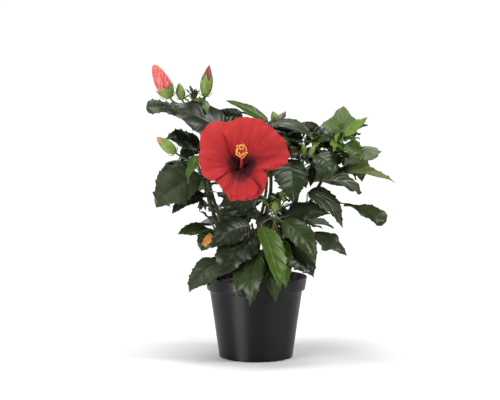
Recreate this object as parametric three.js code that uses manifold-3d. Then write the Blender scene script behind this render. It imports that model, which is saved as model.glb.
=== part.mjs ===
// Hibiscus shrub in a plastic nursery pot. Millimetres, +Z up.
// The origin is the middle of the pot's flat underside. The open bloom looks along -Y.
// The pot, its soil, the short trunk, each bough, each mass of foliage, the bloom and the large buds are
// separate solids. They stand CLEAR apart, face to face, because they grow out of each other.

import * as THREE from "three";
import { mergeVertices } from "three/addons/utils/BufferGeometryUtils.js";
import Module from "manifold-3d";

const wasm = await Module();
wasm.setup();

const CLEAR = 0.3; // gap between pieces that meet
const GOLDEN = 137.5; // degrees from one leaf to the next round a stem

// ---- Driving sizes ----------------------------------------------------------------------------------------

const POT = {
  sides: 36,
  height: 104,
  foot: 46.8, // radii
  shoulder: 59.2,
  bandFoot: 62.8,
  rim: 65.6,
  band: 17.6, // height of the stiffening band round the rim
  bandStep: 1.8, // height of the slope from the wall out to the band
  wall: 1.5,
  floor: 2,
  holes: 8, // drain notches round the foot
  holeWidth: 7,
  holeHeight: 3.4,
  holeDepth: 9,
};

const SOIL = { top: 96, edge: 94.5, flat: 16, below: POT.floor + CLEAR };

// The trunk leans a little and flares at the soil. Boughs leave it on short knuckles.
const TRUNK = { foot: 8, flare: 6, top: 4.2, height: 46, lean: [1, 3], sides: 10, knuckle: 7 };

// A heading is [turn, rise] in degrees: turn runs round +Z from +X, and rise is up from level.
// foot: height above the soil where the bough leaves the trunk; leave and arrive: its headings at its ends;
// tip: where it ends; r: its radii at its ends.
const BOUGHS = {
  bough_left: { foot: 9, leave: [188, 32], tip: [-62, -9, 213], arrive: [190, 72], r: [3.3, 2.4] },
  bough_upper_left: { foot: 17, leave: [150, 42], tip: [-64, 13, 245], arrive: [195, 82], r: [3.1, 2.2] },
  bough_lower_left: { foot: 20, leave: [218, 25], tip: [-40, -17, 150], arrive: [185, 50], r: [2.6, 2] },
  bough_front_left: { foot: 27, leave: [262, 22], tip: [-4, -29, 160], arrive: [262, 68], r: [2.6, 2] },
  bough_front_right: { foot: 18, leave: [300, 26], tip: [22, -27, 170], arrive: [285, 66], r: [2.8, 2.1] },
  bough_low_right: { foot: 27, leave: [338, 30], tip: [42, -15, 178], arrive: [348, 42], r: [2.6, 2] },
  bough_right: { foot: 12, leave: [352, 34], tip: [84, -6, 228], arrive: [8, 60], r: [3.2, 2.2] },
  bough_middle_right: { foot: 31, leave: [12, 42], tip: [64, 2, 228], arrive: [15, 55], r: [3, 2.1] },
  bough_top: { foot: 43, leave: [20, 76], tip: [14, 12, 252], arrive: [190, 70], r: [3, 2.1] },
  bough_bloom: { foot: 37, leave: [176, 52], tip: [-13, 8, 203], arrive: [235, 70], r: [2.8, 2] },
  bough_under_bloom: { foot: 38, leave: [278, 45], tip: [2, -13, 180], arrive: [250, 62], r: [2.5, 1.9] },
  bough_back_left: { foot: 29, leave: [128, 38], tip: [-40, 46, 192], arrive: [110, 68], r: [3, 2] },
  bough_back_right: { foot: 20, leave: [44, 38], tip: [54, 44, 202], arrive: [60, 68], r: [3, 2] },
  bough_back: { foot: 35, leave: [92, 48], tip: [14, 58, 222], arrive: [88, 74], r: [3, 2] },
  bough_back_low_left: { foot: 12, leave: [122, 22], tip: [-26, 42, 142], arrive: [118, 45], r: [2.6, 1.9] },
  bough_back_low_right: { foot: 8, leave: [62, 22], tip: [34, 40, 146], arrive: [60, 45], r: [2.6, 1.9] },
};
const BOUGH_SIDES = 6;
const BOUGH_STEPS = 6;
const STEM_STEPS = 4;

const STALK = { share: 0.3, rise: 25, r: 0.95, arch: 0.06 }; // share: of the blade's length; arch: its bow up
const BLADE = { half: 0.85 }; // half depth at the midrib
// Stations along the blade. From 0.5 on, every second one is the tip of a tooth and the others are notches.
const STATIONS = [0, 0.1, 0.3, 0.56, 0.62, 0.74, 0.8, 1];
const PLAIN_STATIONS = [0, 0.12, 0.36, 0.64, 0.82, 1];
const YOUNG_STATIONS = [0, 0.2, 0.6, 1];
const TOOTH = { from: 0.5, depth: 0.07 }; // depth as a share of the half width

// A leaf. at: place along the stem, 0 to 1; stalk: [turn, rise, length]; blade: [turn, rise, length, sag],
// its first heading, its length and the degrees that it has bent down by its tip; roll and twist: degrees
// that it is turned about its own length, at its foot and on to its tip; wide: width over length; full: where
// along it the blade is widest; fold: degrees that each half is folded up; lobe and lobeAt: how far two side
// lobes stand out, as a share of its half width, and where.
const LEAF = {
  roll: 0,
  twist: 0,
  wide: 0.58,
  full: 0.37,
  fold: 14,
  lobe: 0,
  lobeAt: 0.5,
  stations: STATIONS,
};

// A bud. at and stalk: as for a leaf; bud: [turn, rise, length]; wide: its widest; calyx: the share of its
// length that the calyx holds.
const BUD = { calyx: 0.6, sides: 6, stations: [0, 0.12, 0.35, 0.65, 0.86, 1] };

// A mass. bough: what carries it; its stem goes on from the bough's tip for length, bending to turn and
// rise; leaves: those that make its outline; fill: how many the seeded rule adds, facing within the sector;
// young: how many small leaves it adds at the stem's tip.
const MASSES = {
  foliage_upper_left: {
    bough: "bough_upper_left", length: 76, turn: 205, rise: 80, seed: 11,
    leaves: [
      { at: 0.55, stalk: [325, 4, 33], blade: [190, 40, 87, 36], roll: -52, wide: 0.58, full: 0.24 },
      { at: 0.7, stalk: [196, 52, 20], blade: [182, 16, 57, 20], roll: -42, wide: 0.5, full: 0.6 },
      { at: 0.25, stalk: [252, -3, 15], blade: [209, 48, 55, 55], roll: -45, wide: 0.66 },
      { at: 0.3, stalk: [230, 30, 12], blade: [215, -24, 34, 30], roll: -30, wide: 0.7 },
      { at: 0.9, stalk: [27, 0, 52], blade: [165, 6, 38, 6], wide: 0.4 },
      { at: 0.6, stalk: [3, 17, 56], blade: [200, 14, 43, 45], roll: -60, wide: 0.55 },
      { at: 0.95, stalk: [334, 50, 16], blade: [283, -40, 24, 10], wide: 0.42 },
      { at: 0.8, blade: [110, 20, 58, 40] },
    ],
    buds: [
      { at: 0.97, stalk: [191, 21, 37], bud: [185, 64, 48], wide: 23, calyx: 0.36 },
      { at: 0.95, stalk: [176, 32, 23], bud: [180, 80, 22], wide: 11 },
      { at: 0.9, stalk: [18, 64, 22], bud: [21, 82, 41], wide: 15.5, calyx: 0.7 },
    ],
    fill: 2, sector: [70, 140], young: 3,
  },
  foliage_left: {
    bough: "bough_left", length: 46, turn: 170, rise: 70, seed: 12,
    leaves: [
      {
        at: 0.35, stalk: [259, 22, 8], blade: [208, -2, 75, 52], roll: -62,
        wide: 0.64, full: 0.55, lobe: 0.2,
      },
      { at: 0.1, stalk: [199, -69, 8], blade: [204, -7, 50, 40], roll: -35, wide: 0.5 },
      { at: 0.04, stalk: [317, -56, 26], blade: [207, 23, 26, 40], roll: -45, wide: 0.5 },
      { at: 0.9, stalk: [286, 22, 19], blade: [236, -28, 42, 50], roll: -15, wide: 0.62 },
      { at: 0.55, blade: [130, 10, 60, 50] },
    ],
    buds: [{ at: 0.8, stalk: [206, 27, 34], bud: [194, 40, 32], wide: 14, calyx: 0.8 }],
    fill: 2, sector: [110, 175],
  },
  foliage_lower_left: {
    bough: "bough_lower_left", length: 26, turn: 178, rise: 58, seed: 13,
    leaves: [
      { at: 0.9, stalk: [276, -51, 8], blade: [202, 22, 50, 45], roll: -5, twist: -50, wide: 0.5 },
      { at: 0.6, stalk: [270, -8, 10], blade: [210, -11, 32, 60], roll: -42, wide: 1 },
      { at: 0.1, stalk: [267, -53, 32], blade: [212, -8, 62, 55], roll: -38, wide: 0.62 },
      { at: 0.3, stalk: [279, -62, 27], blade: [226, -36, 43, 35], roll: -30, wide: 0.55 },
    ],
    fill: 1, sector: [130, 160],
  },
  foliage_front_left: {
    bough: "bough_front_left", length: 17, turn: 262, rise: 62, seed: 14,
    leaves: [
      { at: 0.95, stalk: [251, -10, 9], blade: [211, 0, 62, 45], roll: -50, wide: 0.62 },
      { at: 0.75, stalk: [286, -42, 16], blade: [218, -15, 76, 50], roll: -36, wide: 0.64 },
      { at: 0.1, stalk: [257, -47, 39], blade: [233, -48, 53, 28], roll: -15, wide: 0.44 },
      { at: 0.3, stalk: [283, -40, 39], blade: [247, -51, 68, 30], wide: 0.42 },
    ],
  },
  foliage_front_right: {
    bough: "bough_front_right", length: 18, turn: 300, rise: 66, seed: 15,
    leaves: [
      { at: 0.8, stalk: [221, -23, 26], blade: [300, -46, 88, 22], roll: 6, wide: 0.42, fold: 20 },
      { at: 0.2, stalk: [245, -58, 44], blade: [295, -49, 61, 26], roll: 5, wide: 0.44 },
      { at: 0.4, stalk: [296, -50, 24], blade: [284, -51, 67, 26], roll: 8, wide: 0.38 },
      { at: 0.9, stalk: [323, -32, 13], blade: [327, -19, 70, 50], roll: 42, wide: 0.46 },
      { at: 0.3, stalk: [328, -57, 24], blade: [328, -25, 64, 38], roll: 32, wide: 0.6 },
      { at: 0.6, stalk: [29, 10, 19], blade: [347, 25, 56, 40], roll: 52, wide: 0.52 },
    ],
    young: 4,
  },
  foliage_low_right: {
    bough: "bough_low_right", length: 32, turn: 350, rise: 44, seed: 16,
    leaves: [
      { at: 0.8, stalk: [353, -69, 36], blade: [339, -16, 52, 30], roll: 46, wide: 0.4, lobe: 0.4 },
      { at: 0.95, stalk: [60, 67, 16], blade: [339, -14, 66, 60], roll: 36, wide: 0.42 },
      { at: 0.97, stalk: [30, 30, 26], blade: [318, -30, 28, 30], roll: 30, wide: 0.5 },
      {
        at: 0.9, stalk: [11, 0, 50], blade: [352, -17, 58, 10], roll: 10, twist: 60,
        wide: 0.42, full: 0.7,
      },
    ],
    fill: 2, sector: [100, 150],
  },
  foliage_right: {
    bough: "bough_right", length: 64, turn: 25, rise: 66, seed: 17,
    leaves: [
      { at: 0.05, stalk: [328, -13, 11], blade: [330, 7, 48, 50], roll: -40, wide: 0.7 },
      { at: 0.15, stalk: [314, 7, 21], blade: [346, 12, 76, 42], roll: 22, wide: 0.38 },
      { at: 0.6, stalk: [339, 11, 29], blade: [324, 6, 28, 70], roll: 35, wide: 0.95, full: 0.7 },
      { at: 0.5, stalk: [286, 31, 21], blade: [324, 7, 39, 60], roll: 38, wide: 1 },
      {
        at: 0.97, stalk: [263, -3, 14], blade: [83, 88, 41, 30],
        wide: 0.8, lobe: 0.6, lobeAt: 0.34,
      },
      { at: 0.95, stalk: [276, 6, 22], blade: [347, 45, 37, 8], roll: 55, wide: 0.42 },
      { at: 0.85, stalk: [41, 61, 19], blade: [20, 16, 31, 20], roll: 40, wide: 0.5 },
    ],
    fill: 2, sector: [60, 130], young: 4,
  },
  foliage_middle_right: {
    bough: "bough_middle_right", length: 56, turn: 150, rise: 80, seed: 18,
    leaves: [
      { at: 0.45, stalk: [278, 21, 29], blade: [311, -4, 42, 65], roll: 25, wide: 0.76 },
      { at: 0.4, stalk: [215, 11, 35], blade: [275, -38, 60, 50], roll: -4, wide: 0.64 },
      { at: 0.97, stalk: [143, 35, 27], blade: [12, 8, 42, 50], roll: 35, wide: 0.52 },
      { at: 0.8, stalk: [290, 30, 19], blade: [332, 25, 26, 30], roll: 40, wide: 0.6 },
      { at: 0.1, stalk: [337, 59, 13], blade: [248, -60, 27, 10], wide: 0.42 },
      { at: 0.7, stalk: [218, 22, 19], blade: [237, 0, 30, 40], roll: -30, wide: 0.7 },
    ],
    buds: [
      { at: 0.8, stalk: [244, -17, 29], bud: [207, 81, 15], wide: 7 },
      { at: 0.75, stalk: [258, -14, 29], bud: [345, 61, 16], wide: 7 },
    ],
    fill: 2, sector: [40, 120], young: 2,
  },
  foliage_top: {
    bough: "bough_top", length: 52, turn: 60, rise: 86, seed: 19,
    leaves: [
      { at: 0.85, stalk: [289, -1, 15], blade: [344, 24, 63, 70], roll: 24, wide: 0.46 },
      { at: 0.95, stalk: [310, 8, 11], blade: [187, 34, 60, 14], roll: -46, wide: 0.27 },
      { at: 0.98, stalk: [230, 25, 6], blade: [145, 19, 34, 10], roll: 20, wide: 0.5 },
      { at: 0.6, stalk: [330, 25, 20], blade: [330, 0, 44, 40], roll: 20, wide: 0.7 },
    ],
    buds: [
      { at: 0.98, stalk: [346, -7, 19], bud: [201, 70, 16], wide: 10 },
      { at: 0.7, stalk: [324, -20, 43], bud: [204, 60, 19], wide: 9 },
    ],
    fill: 2, sector: [110, 165],
  },
  foliage_under_bloom: {
    bough: "bough_under_bloom", length: 20, turn: 240, rise: 66, seed: 20,
    leaves: [
      { at: 0.95, stalk: [308, 31, 17], blade: [190, 7, 57, 30], roll: -62, wide: 0.5 },
      { at: 0.7, stalk: [262, -2, 9], blade: [196, 8, 46, 34], roll: -45, wide: 0.5 },
      { at: 0.5, stalk: [221, -15, 11], blade: [183, 19, 42, 30], roll: -55, wide: 0.5 },
    ],
  },
  foliage_back_left: {
    bough: "bough_back_left", length: 70, turn: 110, rise: 78,
    seed: 21, fill: 9, sector: [60, 165],
  },
  foliage_back_right: {
    bough: "bough_back_right", length: 74, turn: 60, rise: 76,
    seed: 22, fill: 9, sector: [0, 125],
  },
  foliage_back: {
    bough: "bough_back", length: 64, turn: 92, rise: 80,
    seed: 23, fill: 12, sector: [40, 145],
  },
  foliage_back_low_left: {
    bough: "bough_back_low_left", length: 30, turn: 115, rise: 50, seed: 24, fill: 6, sector: [60, 118],
  },
  foliage_back_low_right: {
    bough: "bough_back_low_right", length: 30, turn: 62, rise: 50, seed: 25, fill: 6, sector: [40, 125],
  },
};
// What the seeded rule gives each leaf that it adds: [least, most].
const FILL = {
  at: [0.08, 0.96],
  lift: [5, 45],
  rise: [-10, 30],
  length: [56, 80],
  sag: [40, 85],
  roll: [-30, 30],
  wide: [0.54, 0.68],
};
const YOUNG = { stalk: 7, rise: [40, 75], length: [14, 24], wide: [0.4, 0.55], sag: [5, 30] };

// The open bloom. throat: where its petals spread; tilt: how far it looks up; tube: how far it reaches back
// from the throat; petals: each one's place round the axis, its reach, and half the angle that it takes at
// its foot and at its rim; depth: how far the rim lies forward; overlap: how far one edge of a petal lies in
// front and the other behind; half: half a petal's thickness; from: where the stamens start on the column.
const BLOOM = {
  bough: "bough_bloom",
  throat: [-18, -35, 246],
  tilt: 24,
  tube: 34,
  sunk: 1, // how far the stalk runs on into the calyx
  calyx: { r: 8.5, long: 24 },
  core: 5.5, // radius of the throat
  petals: [
    { angle: 74, reach: 59, spread: [30, 47] },
    { angle: 22, reach: 59, spread: [28, 42] },
    { angle: 291, reach: 51, spread: [26, 36] },
    { angle: 255, reach: 54, spread: [30, 40] },
    { angle: 158, reach: 59, spread: [34, 57] },
  ],
  sides: 8,
  depth: 25,
  overlap: 2.4,
  half: 0.65,
  rows: 5,
  columns: 4,
  column: { long: 72, r: [1.9, 1.3], from: 0.72, stamens: 10, stamen: 5.5 },
};

// A colour and a roughness for each kind of piece.
const LOOKS = {
  pot: [0x1d1d1f, 0.4],
  soil: [0x32251d, 0.95],
  bark: [0x6d6a4b, 0.8],
  leaf: [0x33472a, 0.5],
  petal: [0xc8323a, 0.6],
};

// ---- Directions and solids --------------------------------------------------------------------------------

const radians = THREE.MathUtils.degToRad;

/** The unit vector of a heading. */
function heading(turn, rise) {
  const level = Math.cos(radians(rise));
  return new THREE.Vector3(
    level * Math.cos(radians(turn)),
    level * Math.sin(radians(turn)),
    Math.sin(radians(rise)),
  );
}

/** Numbers from 0 to 1 that follow from the seed alone. */
function seeded(seed) {
  let state = seed >>> 0;
  return () => {
    state = (Math.imul(state, 1664525) + 1013904223) >>> 0;
    return state / 4294967296;
  };
}

/** A closed solid of a geometry's triangles, with its faces pointing out. */
function solidOf(geometry) {
  const bare = geometry.clone();
  for (const name of Object.keys(bare.attributes)) {
    if (name !== "position") bare.deleteAttribute(name);
  }
  const merged = mergeVertices(bare, 1e-4);
  const corners = merged.index.array;
  const kept = [];
  for (let i = 0; i < corners.length; i += 3) {
    const [a, b, c] = corners.slice(i, i + 3);
    if (a !== b && b !== c && a !== c) kept.push(a, b, c);
  }
  const vertProperties = new Float32Array(merged.attributes.position.array);
  const triVerts = new Uint32Array(kept);
  const made = new wasm.Manifold(new wasm.Mesh({ numProp: 3, vertProperties, triVerts }));
  return made.volume() < 0 ? solidOf(geometry.clone().setIndex([...kept].reverse())) : made;
}

/** The solid through a row of rings, each with as many points as the next, closed flat at both ends. */
function loft(rings) {
  const sides = rings[0].length;
  const corners = [];
  for (let r = 0; r + 1 < rings.length; r++) {
    for (let s = 0; s < sides; s++) {
      const [a, b] = [r * sides + s, r * sides + ((s + 1) % sides)];
      corners.push(a, b, b + sides, a, b + sides, a + sides);
    }
  }
  const last = (rings.length - 1) * sides;
  for (let s = 1; s + 1 < sides; s++) corners.push(0, s + 1, s, last, last + s, last + s + 1);
  return outward(new THREE.BufferGeometry().setFromPoints(rings.flat()), corners);
}

/** The solid of these points and corners, turned round if its faces pointed in. */
function outward(geometry, corners) {
  const indexed = geometry.setIndex(corners);
  const [p, volume] = [indexed.attributes.position, { six: 0 }];
  const [a, b, c] = [0, 1, 2].map(() => new THREE.Vector3());
  for (let i = 0; i < corners.length; i += 3) {
    a.fromBufferAttribute(p, corners[i]);
    b.fromBufferAttribute(p, corners[i + 1]);
    c.fromBufferAttribute(p, corners[i + 2]);
    volume.six += a.dot(b.cross(c));
  }
  return solidOf(volume.six < 0 ? geometry.setIndex([...corners].reverse()) : indexed);
}

/** A round limb along a curve, its radius running evenly from the first to the second. */
function limb(curve, radii, sides, steps) {
  const frames = curve.computeFrenetFrames(steps, false);
  const rings = [];
  for (let i = 0; i <= steps; i++) {
    const radius = THREE.MathUtils.lerp(radii[0], radii[1], i / steps);
    rings.push(circle(curve.getPointAt(i / steps), frames.normals[i], frames.binormals[i], radius, sides));
  }
  return loft(rings);
}

const fuse = (solids) => solids.reduce((whole, next) => whole.add(next));

/** A mesh of a solid's triangles, named as its node. */
function meshOf(name, solid, [color, roughness]) {
  const { numProp, vertProperties, triVerts } = solid.getMesh();
  const points = new Float32Array((vertProperties.length / numProp) * 3);
  for (let i = 0; i * 3 < points.length; i++) {
    points.set(vertProperties.subarray(i * numProp, i * numProp + 3), i * 3);
  }
  const geometry = new THREE.BufferGeometry();
  geometry.setAttribute("position", new THREE.BufferAttribute(points, 3));
  geometry.setIndex(new THREE.BufferAttribute(triVerts, 1));
  geometry.computeVertexNormals();
  const mesh = new THREE.Mesh(geometry, new THREE.MeshStandardMaterial({ color, roughness, metalness: 0 }));
  mesh.name = name;
  return mesh;
}

/** A solid turned about +Z from radius and height pairs, with +Z up. */
function turned(profile, sides) {
  const points = profile.map(([r, z]) => new THREE.Vector2(r, z));
  return solidOf(new THREE.LatheGeometry(points, sides).rotateX(Math.PI / 2));
}

// ---- Pot and soil -----------------------------------------------------------------------------------------

const bandTop = POT.height - POT.band; // where the band's slope starts

/** The pot's outer radius of the plain wall at a height. */
const wallRadius = (z) => THREE.MathUtils.mapLinear(z, 0, bandTop, POT.foot, POT.shoulder);

function pot() {
  const outside = [
    [0, 0],
    [POT.foot - 1, 0],
    [wallRadius(1), 1],
    [POT.shoulder, bandTop],
    [POT.bandFoot, bandTop + POT.bandStep],
    [POT.rim - 0.6, POT.height - 1],
    [POT.rim - 0.9, POT.height],
  ];
  const inside = [
    [POT.rim - POT.wall - 0.5, POT.height],
    [POT.bandFoot - POT.wall, bandTop + POT.bandStep + 1],
    [POT.shoulder - POT.wall, bandTop - 0.5],
    [wallRadius(POT.floor) - POT.wall, POT.floor],
    [0, POT.floor],
  ];
  let solid = turned([...outside, ...inside], POT.sides);
  for (let i = 0; i < POT.holes; i++) {
    const notch = new THREE.BoxGeometry(POT.holeDepth, POT.holeWidth, 2 * POT.holeHeight)
      .translate(POT.foot - 1, 0, 0)
      .rotateZ((2 * Math.PI * (i + 0.5)) / POT.holes + radians(14));
    solid = solid.subtract(solidOf(notch));
  }
  return solid;
}

function soil() {
  const inner = (z) => wallRadius(z) - POT.wall - CLEAR;
  const bandInner = POT.bandFoot - POT.wall - CLEAR;
  return turned(
    [
      [0, SOIL.below],
      [inner(SOIL.below) - 0.1, SOIL.below],
      [inner(bandTop) - 0.2, bandTop - 0.5],
      [bandInner - 0.2, bandTop + POT.bandStep + 1.2],
      [bandInner, SOIL.edge],
      [bandInner * 0.62, SOIL.top - 0.4],
      [SOIL.flat, SOIL.top],
      [0, SOIL.top],
    ],
    POT.sides,
  );
}

// ---- Trunk and boughs -------------------------------------------------------------------------------------

const trunkFoot = new THREE.Vector3(0, 0, SOIL.top + CLEAR);

/** The trunk's middle at a height above its foot. */
function trunkMiddle(height) {
  const share = height / TRUNK.height;
  return trunkFoot.clone().add(new THREE.Vector3(TRUNK.lean[0] * share, TRUNK.lean[1] * share, height));
}

/** The end of a bough's knuckle. */
function knuckleEnd({ foot, leave }) {
  return trunkMiddle(foot).addScaledVector(heading(...leave), TRUNK.top + TRUNK.knuckle);
}

function trunk() {
  const radii = [TRUNK.foot, TRUNK.flare, TRUNK.top + 1.6, TRUNK.top + 0.8, TRUNK.top];
  const rings = radii.map((radius, i) => {
    const middle = trunkMiddle((TRUNK.height * i) / (radii.length - 1));
    return Array.from({ length: TRUNK.sides }, (_, s) => {
      const angle = (2 * Math.PI * s) / TRUNK.sides;
      return middle.clone().add(new THREE.Vector3(radius * Math.cos(angle), radius * Math.sin(angle), 0));
    });
  });
  const knuckles = Object.values(BOUGHS).map((bough) => {
    const axis = new THREE.LineCurve3(trunkMiddle(bough.foot), knuckleEnd(bough));
    return limb(axis, [bough.r[0] * 1.15, bough.r[0]], BOUGH_SIDES, 1);
  });
  return fuse([loft(rings), ...knuckles]);
}

/** A bough's curve, from CLEAR off its knuckle to its tip. */
function boughCurve(bough) {
  const first = heading(...bough.leave);
  const start = knuckleEnd(bough).addScaledVector(first, CLEAR);
  const tip = new THREE.Vector3(...bough.tip);
  const reach = start.distanceTo(tip);
  return new THREE.CubicBezierCurve3(
    start,
    start.clone().addScaledVector(first, reach * 0.38),
    tip.clone().addScaledVector(heading(...bough.arrive), -reach * 0.38),
    tip,
  );
}

// ---- Leaves -----------------------------------------------------------------------------------------------

/** Half width of a blade at a station from 0 to 1, as a share of its widest, with its side lobes. */
function halfWidth(station, { full, lobe, lobeAt }) {
  const power = 1.6;
  const shape = (x) => Math.pow(x, full * power) * Math.pow(1 - x, (1 - full) * power);
  const side = Math.max(0, 1 - Math.abs(station - lobeAt) / 0.17);
  return shape(station) / shape(full) + lobe * side;
}

/** The blade's midrib at a station: its place and its own three directions. */
function midrib(leaf, foot, station) {
  const [turn, rise, length, sag] = leaf.blade;
  const now = rise - sag * station;
  const out = (length * (Math.sin(radians(rise)) - Math.sin(radians(now)))) / radians(sag);
  const up = (length * (Math.cos(radians(now)) - Math.cos(radians(rise)))) / radians(sag);
  const level = heading(turn, 0);
  const place = foot.clone().addScaledVector(level, out).add(new THREE.Vector3(0, 0, up));
  const along = heading(turn, now);
  const flatSide = new THREE.Vector3(-level.y, level.x, 0);
  const flatFace = along.clone().cross(flatSide);
  const roll = radians(leaf.roll + leaf.twist * station);
  const side = flatSide.multiplyScalar(Math.cos(roll)).addScaledVector(flatFace, Math.sin(roll));
  return { place, along, side, face: along.clone().cross(side) };
}

/** Four points round a stalk whose flat side lies as near as it can to a leaf's side. */
function stalkRing(centre, direction, side, radius) {
  const level = side.clone().addScaledVector(direction, -side.dot(direction)).normalize();
  return circle(centre, level, direction.clone().cross(level), radius, 4);
}

/** The rings of a leaf's stalk from its root to its foot. A bowed one has a ring in its middle too. */
function stalkRings(root, foot, next, side, bowed) {
  const direction = foot.clone().sub(root).normalize();
  const middle = root.clone().lerp(foot, 0.5);
  if (bowed) middle.z += root.distanceTo(foot) * STALK.arch;
  const bisector = direction.clone().add(next).normalize();
  return [
    stalkRing(root, middle.clone().sub(root).normalize(), side, STALK.r * 1.2),
    ...(bowed ? [stalkRing(middle, direction, side, STALK.r)] : []),
    stalkRing(foot, bisector, side, STALK.r * 0.85),
  ];
}

/** The two ends of a stalk: its root in the stem's middle, and its foot. */
function stalkEnds(stem, at, [turn, rise, length]) {
  const root = stem.getPointAt(at);
  return [root, root.clone().addScaledVector(heading(turn, rise), length)];
}

/** A leaf in one piece. Its blade is a flattened lens in section, folded up along the midrib, with teeth. */
function leafSolid(stated, stem) {
  const leaf = { ...LEAF, ...stated };
  const [turn, , length] = leaf.blade;
  const [root, foot] = stalkEnds(stem, leaf.at, leaf.stalk ?? [turn, STALK.rise, length * STALK.share]);
  const start = midrib(leaf, foot, 0);
  const half = (length * leaf.wide) / 2;
  const [across, lift] = [Math.cos(radians(leaf.fold)), Math.sin(radians(leaf.fold))];
  const rings = leaf.stations.slice(1).map((station, i) => {
    const { place, side, face } = midrib(leaf, foot, station);
    const toothed = leaf.stations === STATIONS && station > TOOTH.from && station < 1;
    const tooth = toothed ? TOOTH.depth * (i % 2 ? -1 : 1) : 0;
    const reach = half * (halfWidth(station, leaf) + tooth);
    const [wide, deep] = station === 1 ? [0, 0] : [reach, BLADE.half];
    const at = (across, up) => place.clone().addScaledVector(side, across).addScaledVector(face, up);
    return [at(wide * across, wide * lift), at(0, deep), at(-wide * across, wide * lift), at(0, -deep)];
  });
  const bowed = leaf.stations === STATIONS;
  return loft([...stalkRings(root, foot, start.along, start.side, bowed), ...rings]);
}

/** A bud's radius at a station from its foot, as a share of its widest: the calyx ends in a small step. */
function budRadius(station, calyx) {
  const body = Math.pow(Math.sin(Math.PI * Math.pow(station, 0.78)), 0.75);
  return body * (station <= calyx ? 1 : 0.88);
}

/** A bud on its stalk. */
function budSolid(stated, stem) {
  const bud = { ...BUD, ...stated };
  const [root, foot] = stalkEnds(stem, bud.at, bud.stalk);
  const [turn, rise, length] = bud.bud;
  const along = heading(turn, rise);
  const side = new THREE.Vector3(-along.y, along.x, 0).normalize();
  const face = along.clone().cross(side);
  const direction = foot.clone().sub(root).normalize();
  const level = side.clone().addScaledVector(direction, -side.dot(direction)).normalize();
  const rings = bud.stations.map((station) => {
    const radius = station === 1 ? 0 : Math.max(STALK.r, (bud.wide / 2) * budRadius(station, bud.calyx));
    return circle(foot.clone().addScaledVector(along, length * station), side, face, radius, bud.sides);
  });
  return loft([circle(root, level, direction.clone().cross(level), STALK.r * 1.2, bud.sides), ...rings]);
}

/** Points round a circle in the plane of two directions. */
function circle(centre, side, face, radius, sides) {
  return Array.from({ length: sides }, (_, s) => {
    const angle = (2 * Math.PI * s) / sides;
    return centre
      .clone()
      .addScaledVector(side, radius * Math.cos(angle))
      .addScaledVector(face, radius * Math.sin(angle));
  });
}

/** The leaves that the seeded rule adds: they climb the stem, a golden angle apart in the mass's sector. */
function filled({ fill = 0, sector = [0, 360], young = 0, seed }) {
  const next = seeded(seed);
  const pick = ([least, most]) => least + (most - least) * next();
  const leaves = [];
  for (let i = 0; i < fill; i++) {
    const share = (i + 0.5) / fill;
    const turn = sector[0] + (((i * GOLDEN) / 360) % 1) * (sector[1] - sector[0]) + pick([-12, 12]);
    const length = pick(FILL.length) * (1 - 0.22 * share);
    leaves.push({
      at: THREE.MathUtils.lerp(...FILL.at, share),
      stalk: [turn, pick(FILL.lift), length * STALK.share],
      blade: [turn, pick(FILL.rise) + 20 * share, length, pick(FILL.sag)],
      roll: pick(FILL.roll),
      wide: pick(FILL.wide),
      stations: PLAIN_STATIONS,
    });
  }
  for (let i = 0; i < young; i++) {
    const turn = i * GOLDEN + pick([-20, 20]);
    leaves.push({
      at: 0.99 - 0.03 * i,
      stalk: [turn, pick(YOUNG.rise), YOUNG.stalk],
      blade: [turn, pick(YOUNG.rise), pick(YOUNG.length), pick(YOUNG.sag)],
      wide: pick(YOUNG.wide),
      stations: YOUNG_STATIONS,
    });
  }
  return leaves;
}

/** The stem of a mass: it goes on from its bough's tip, CLEAR off. */
function stemCurve(mass) {
  const bough = BOUGHS[mass.bough];
  const first = heading(...bough.arrive);
  const start = new THREE.Vector3(...bough.tip).addScaledVector(first, CLEAR);
  const bend = start.clone().addScaledVector(first, mass.length * 0.4);
  const end = bend.clone().addScaledVector(heading(mass.turn, mass.rise), mass.length * 0.6);
  return new THREE.QuadraticBezierCurve3(start, bend, end);
}

const touches = (solid, others) => others.some((other) => solid.intersect(other).volume() > 0);

/** A mass: its stem with its leaves and buds fused on, but for any that would touch another piece. */
function foliage(mass, stemSolid, others) {
  const stem = stemCurve(mass);
  const leaves = [...(mass.leaves ?? []), ...filled(mass)].map((leaf) => leafSolid(leaf, stem));
  const buds = (mass.buds ?? []).map((bud) => budSolid(bud, stem));
  const clear = [...leaves, ...buds].filter((solid) => !touches(solid, others));
  return fuse([stemSolid, ...clear]);
}

/** The stem of a mass as a solid. */
function stemSolid(mass) {
  const radius = BOUGHS[mass.bough].r[1];
  return limb(stemCurve(mass), [radius, radius * 0.62], BOUGH_SIDES, STEM_STEPS);
}

// ---- The bloom --------------------------------------------------------------------------------------------

const bloomAxis = heading(270, BLOOM.tilt);
const bloomRight = new THREE.Vector3(1, 0, 0);
const bloomUp = bloomAxis.clone().cross(bloomRight);
const bloomThroat = new THREE.Vector3(...BLOOM.throat);

/** A point of the bloom: its distance from the axis, its angle round it from +X, and how far forward. */
function bloomPoint(radius, angle, forward) {
  return bloomThroat
    .clone()
    .addScaledVector(bloomRight, radius * Math.cos(radians(angle)))
    .addScaledVector(bloomUp, radius * Math.sin(radians(angle)))
    .addScaledVector(bloomAxis, forward);
}

/** A petal's middle surface at s, 0 at its foot to 1 at its rim, and t, -1 to 1 across. */
function petalPoint({ angle, reach, spread }, s, t) {
  const rim = reach * (1 - 0.2 * t * t * t * t);
  const radius = THREE.MathUtils.lerp(BLOOM.core * 0.7, rim, Math.pow(s, 1.1));
  const half = THREE.MathUtils.lerp(...spread, s);
  const forward = BLOOM.depth * Math.pow(Math.sin((s * Math.PI) / 2), 0.85) + BLOOM.overlap * t * s;
  return bloomPoint(radius, angle + t * half, forward);
}

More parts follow.
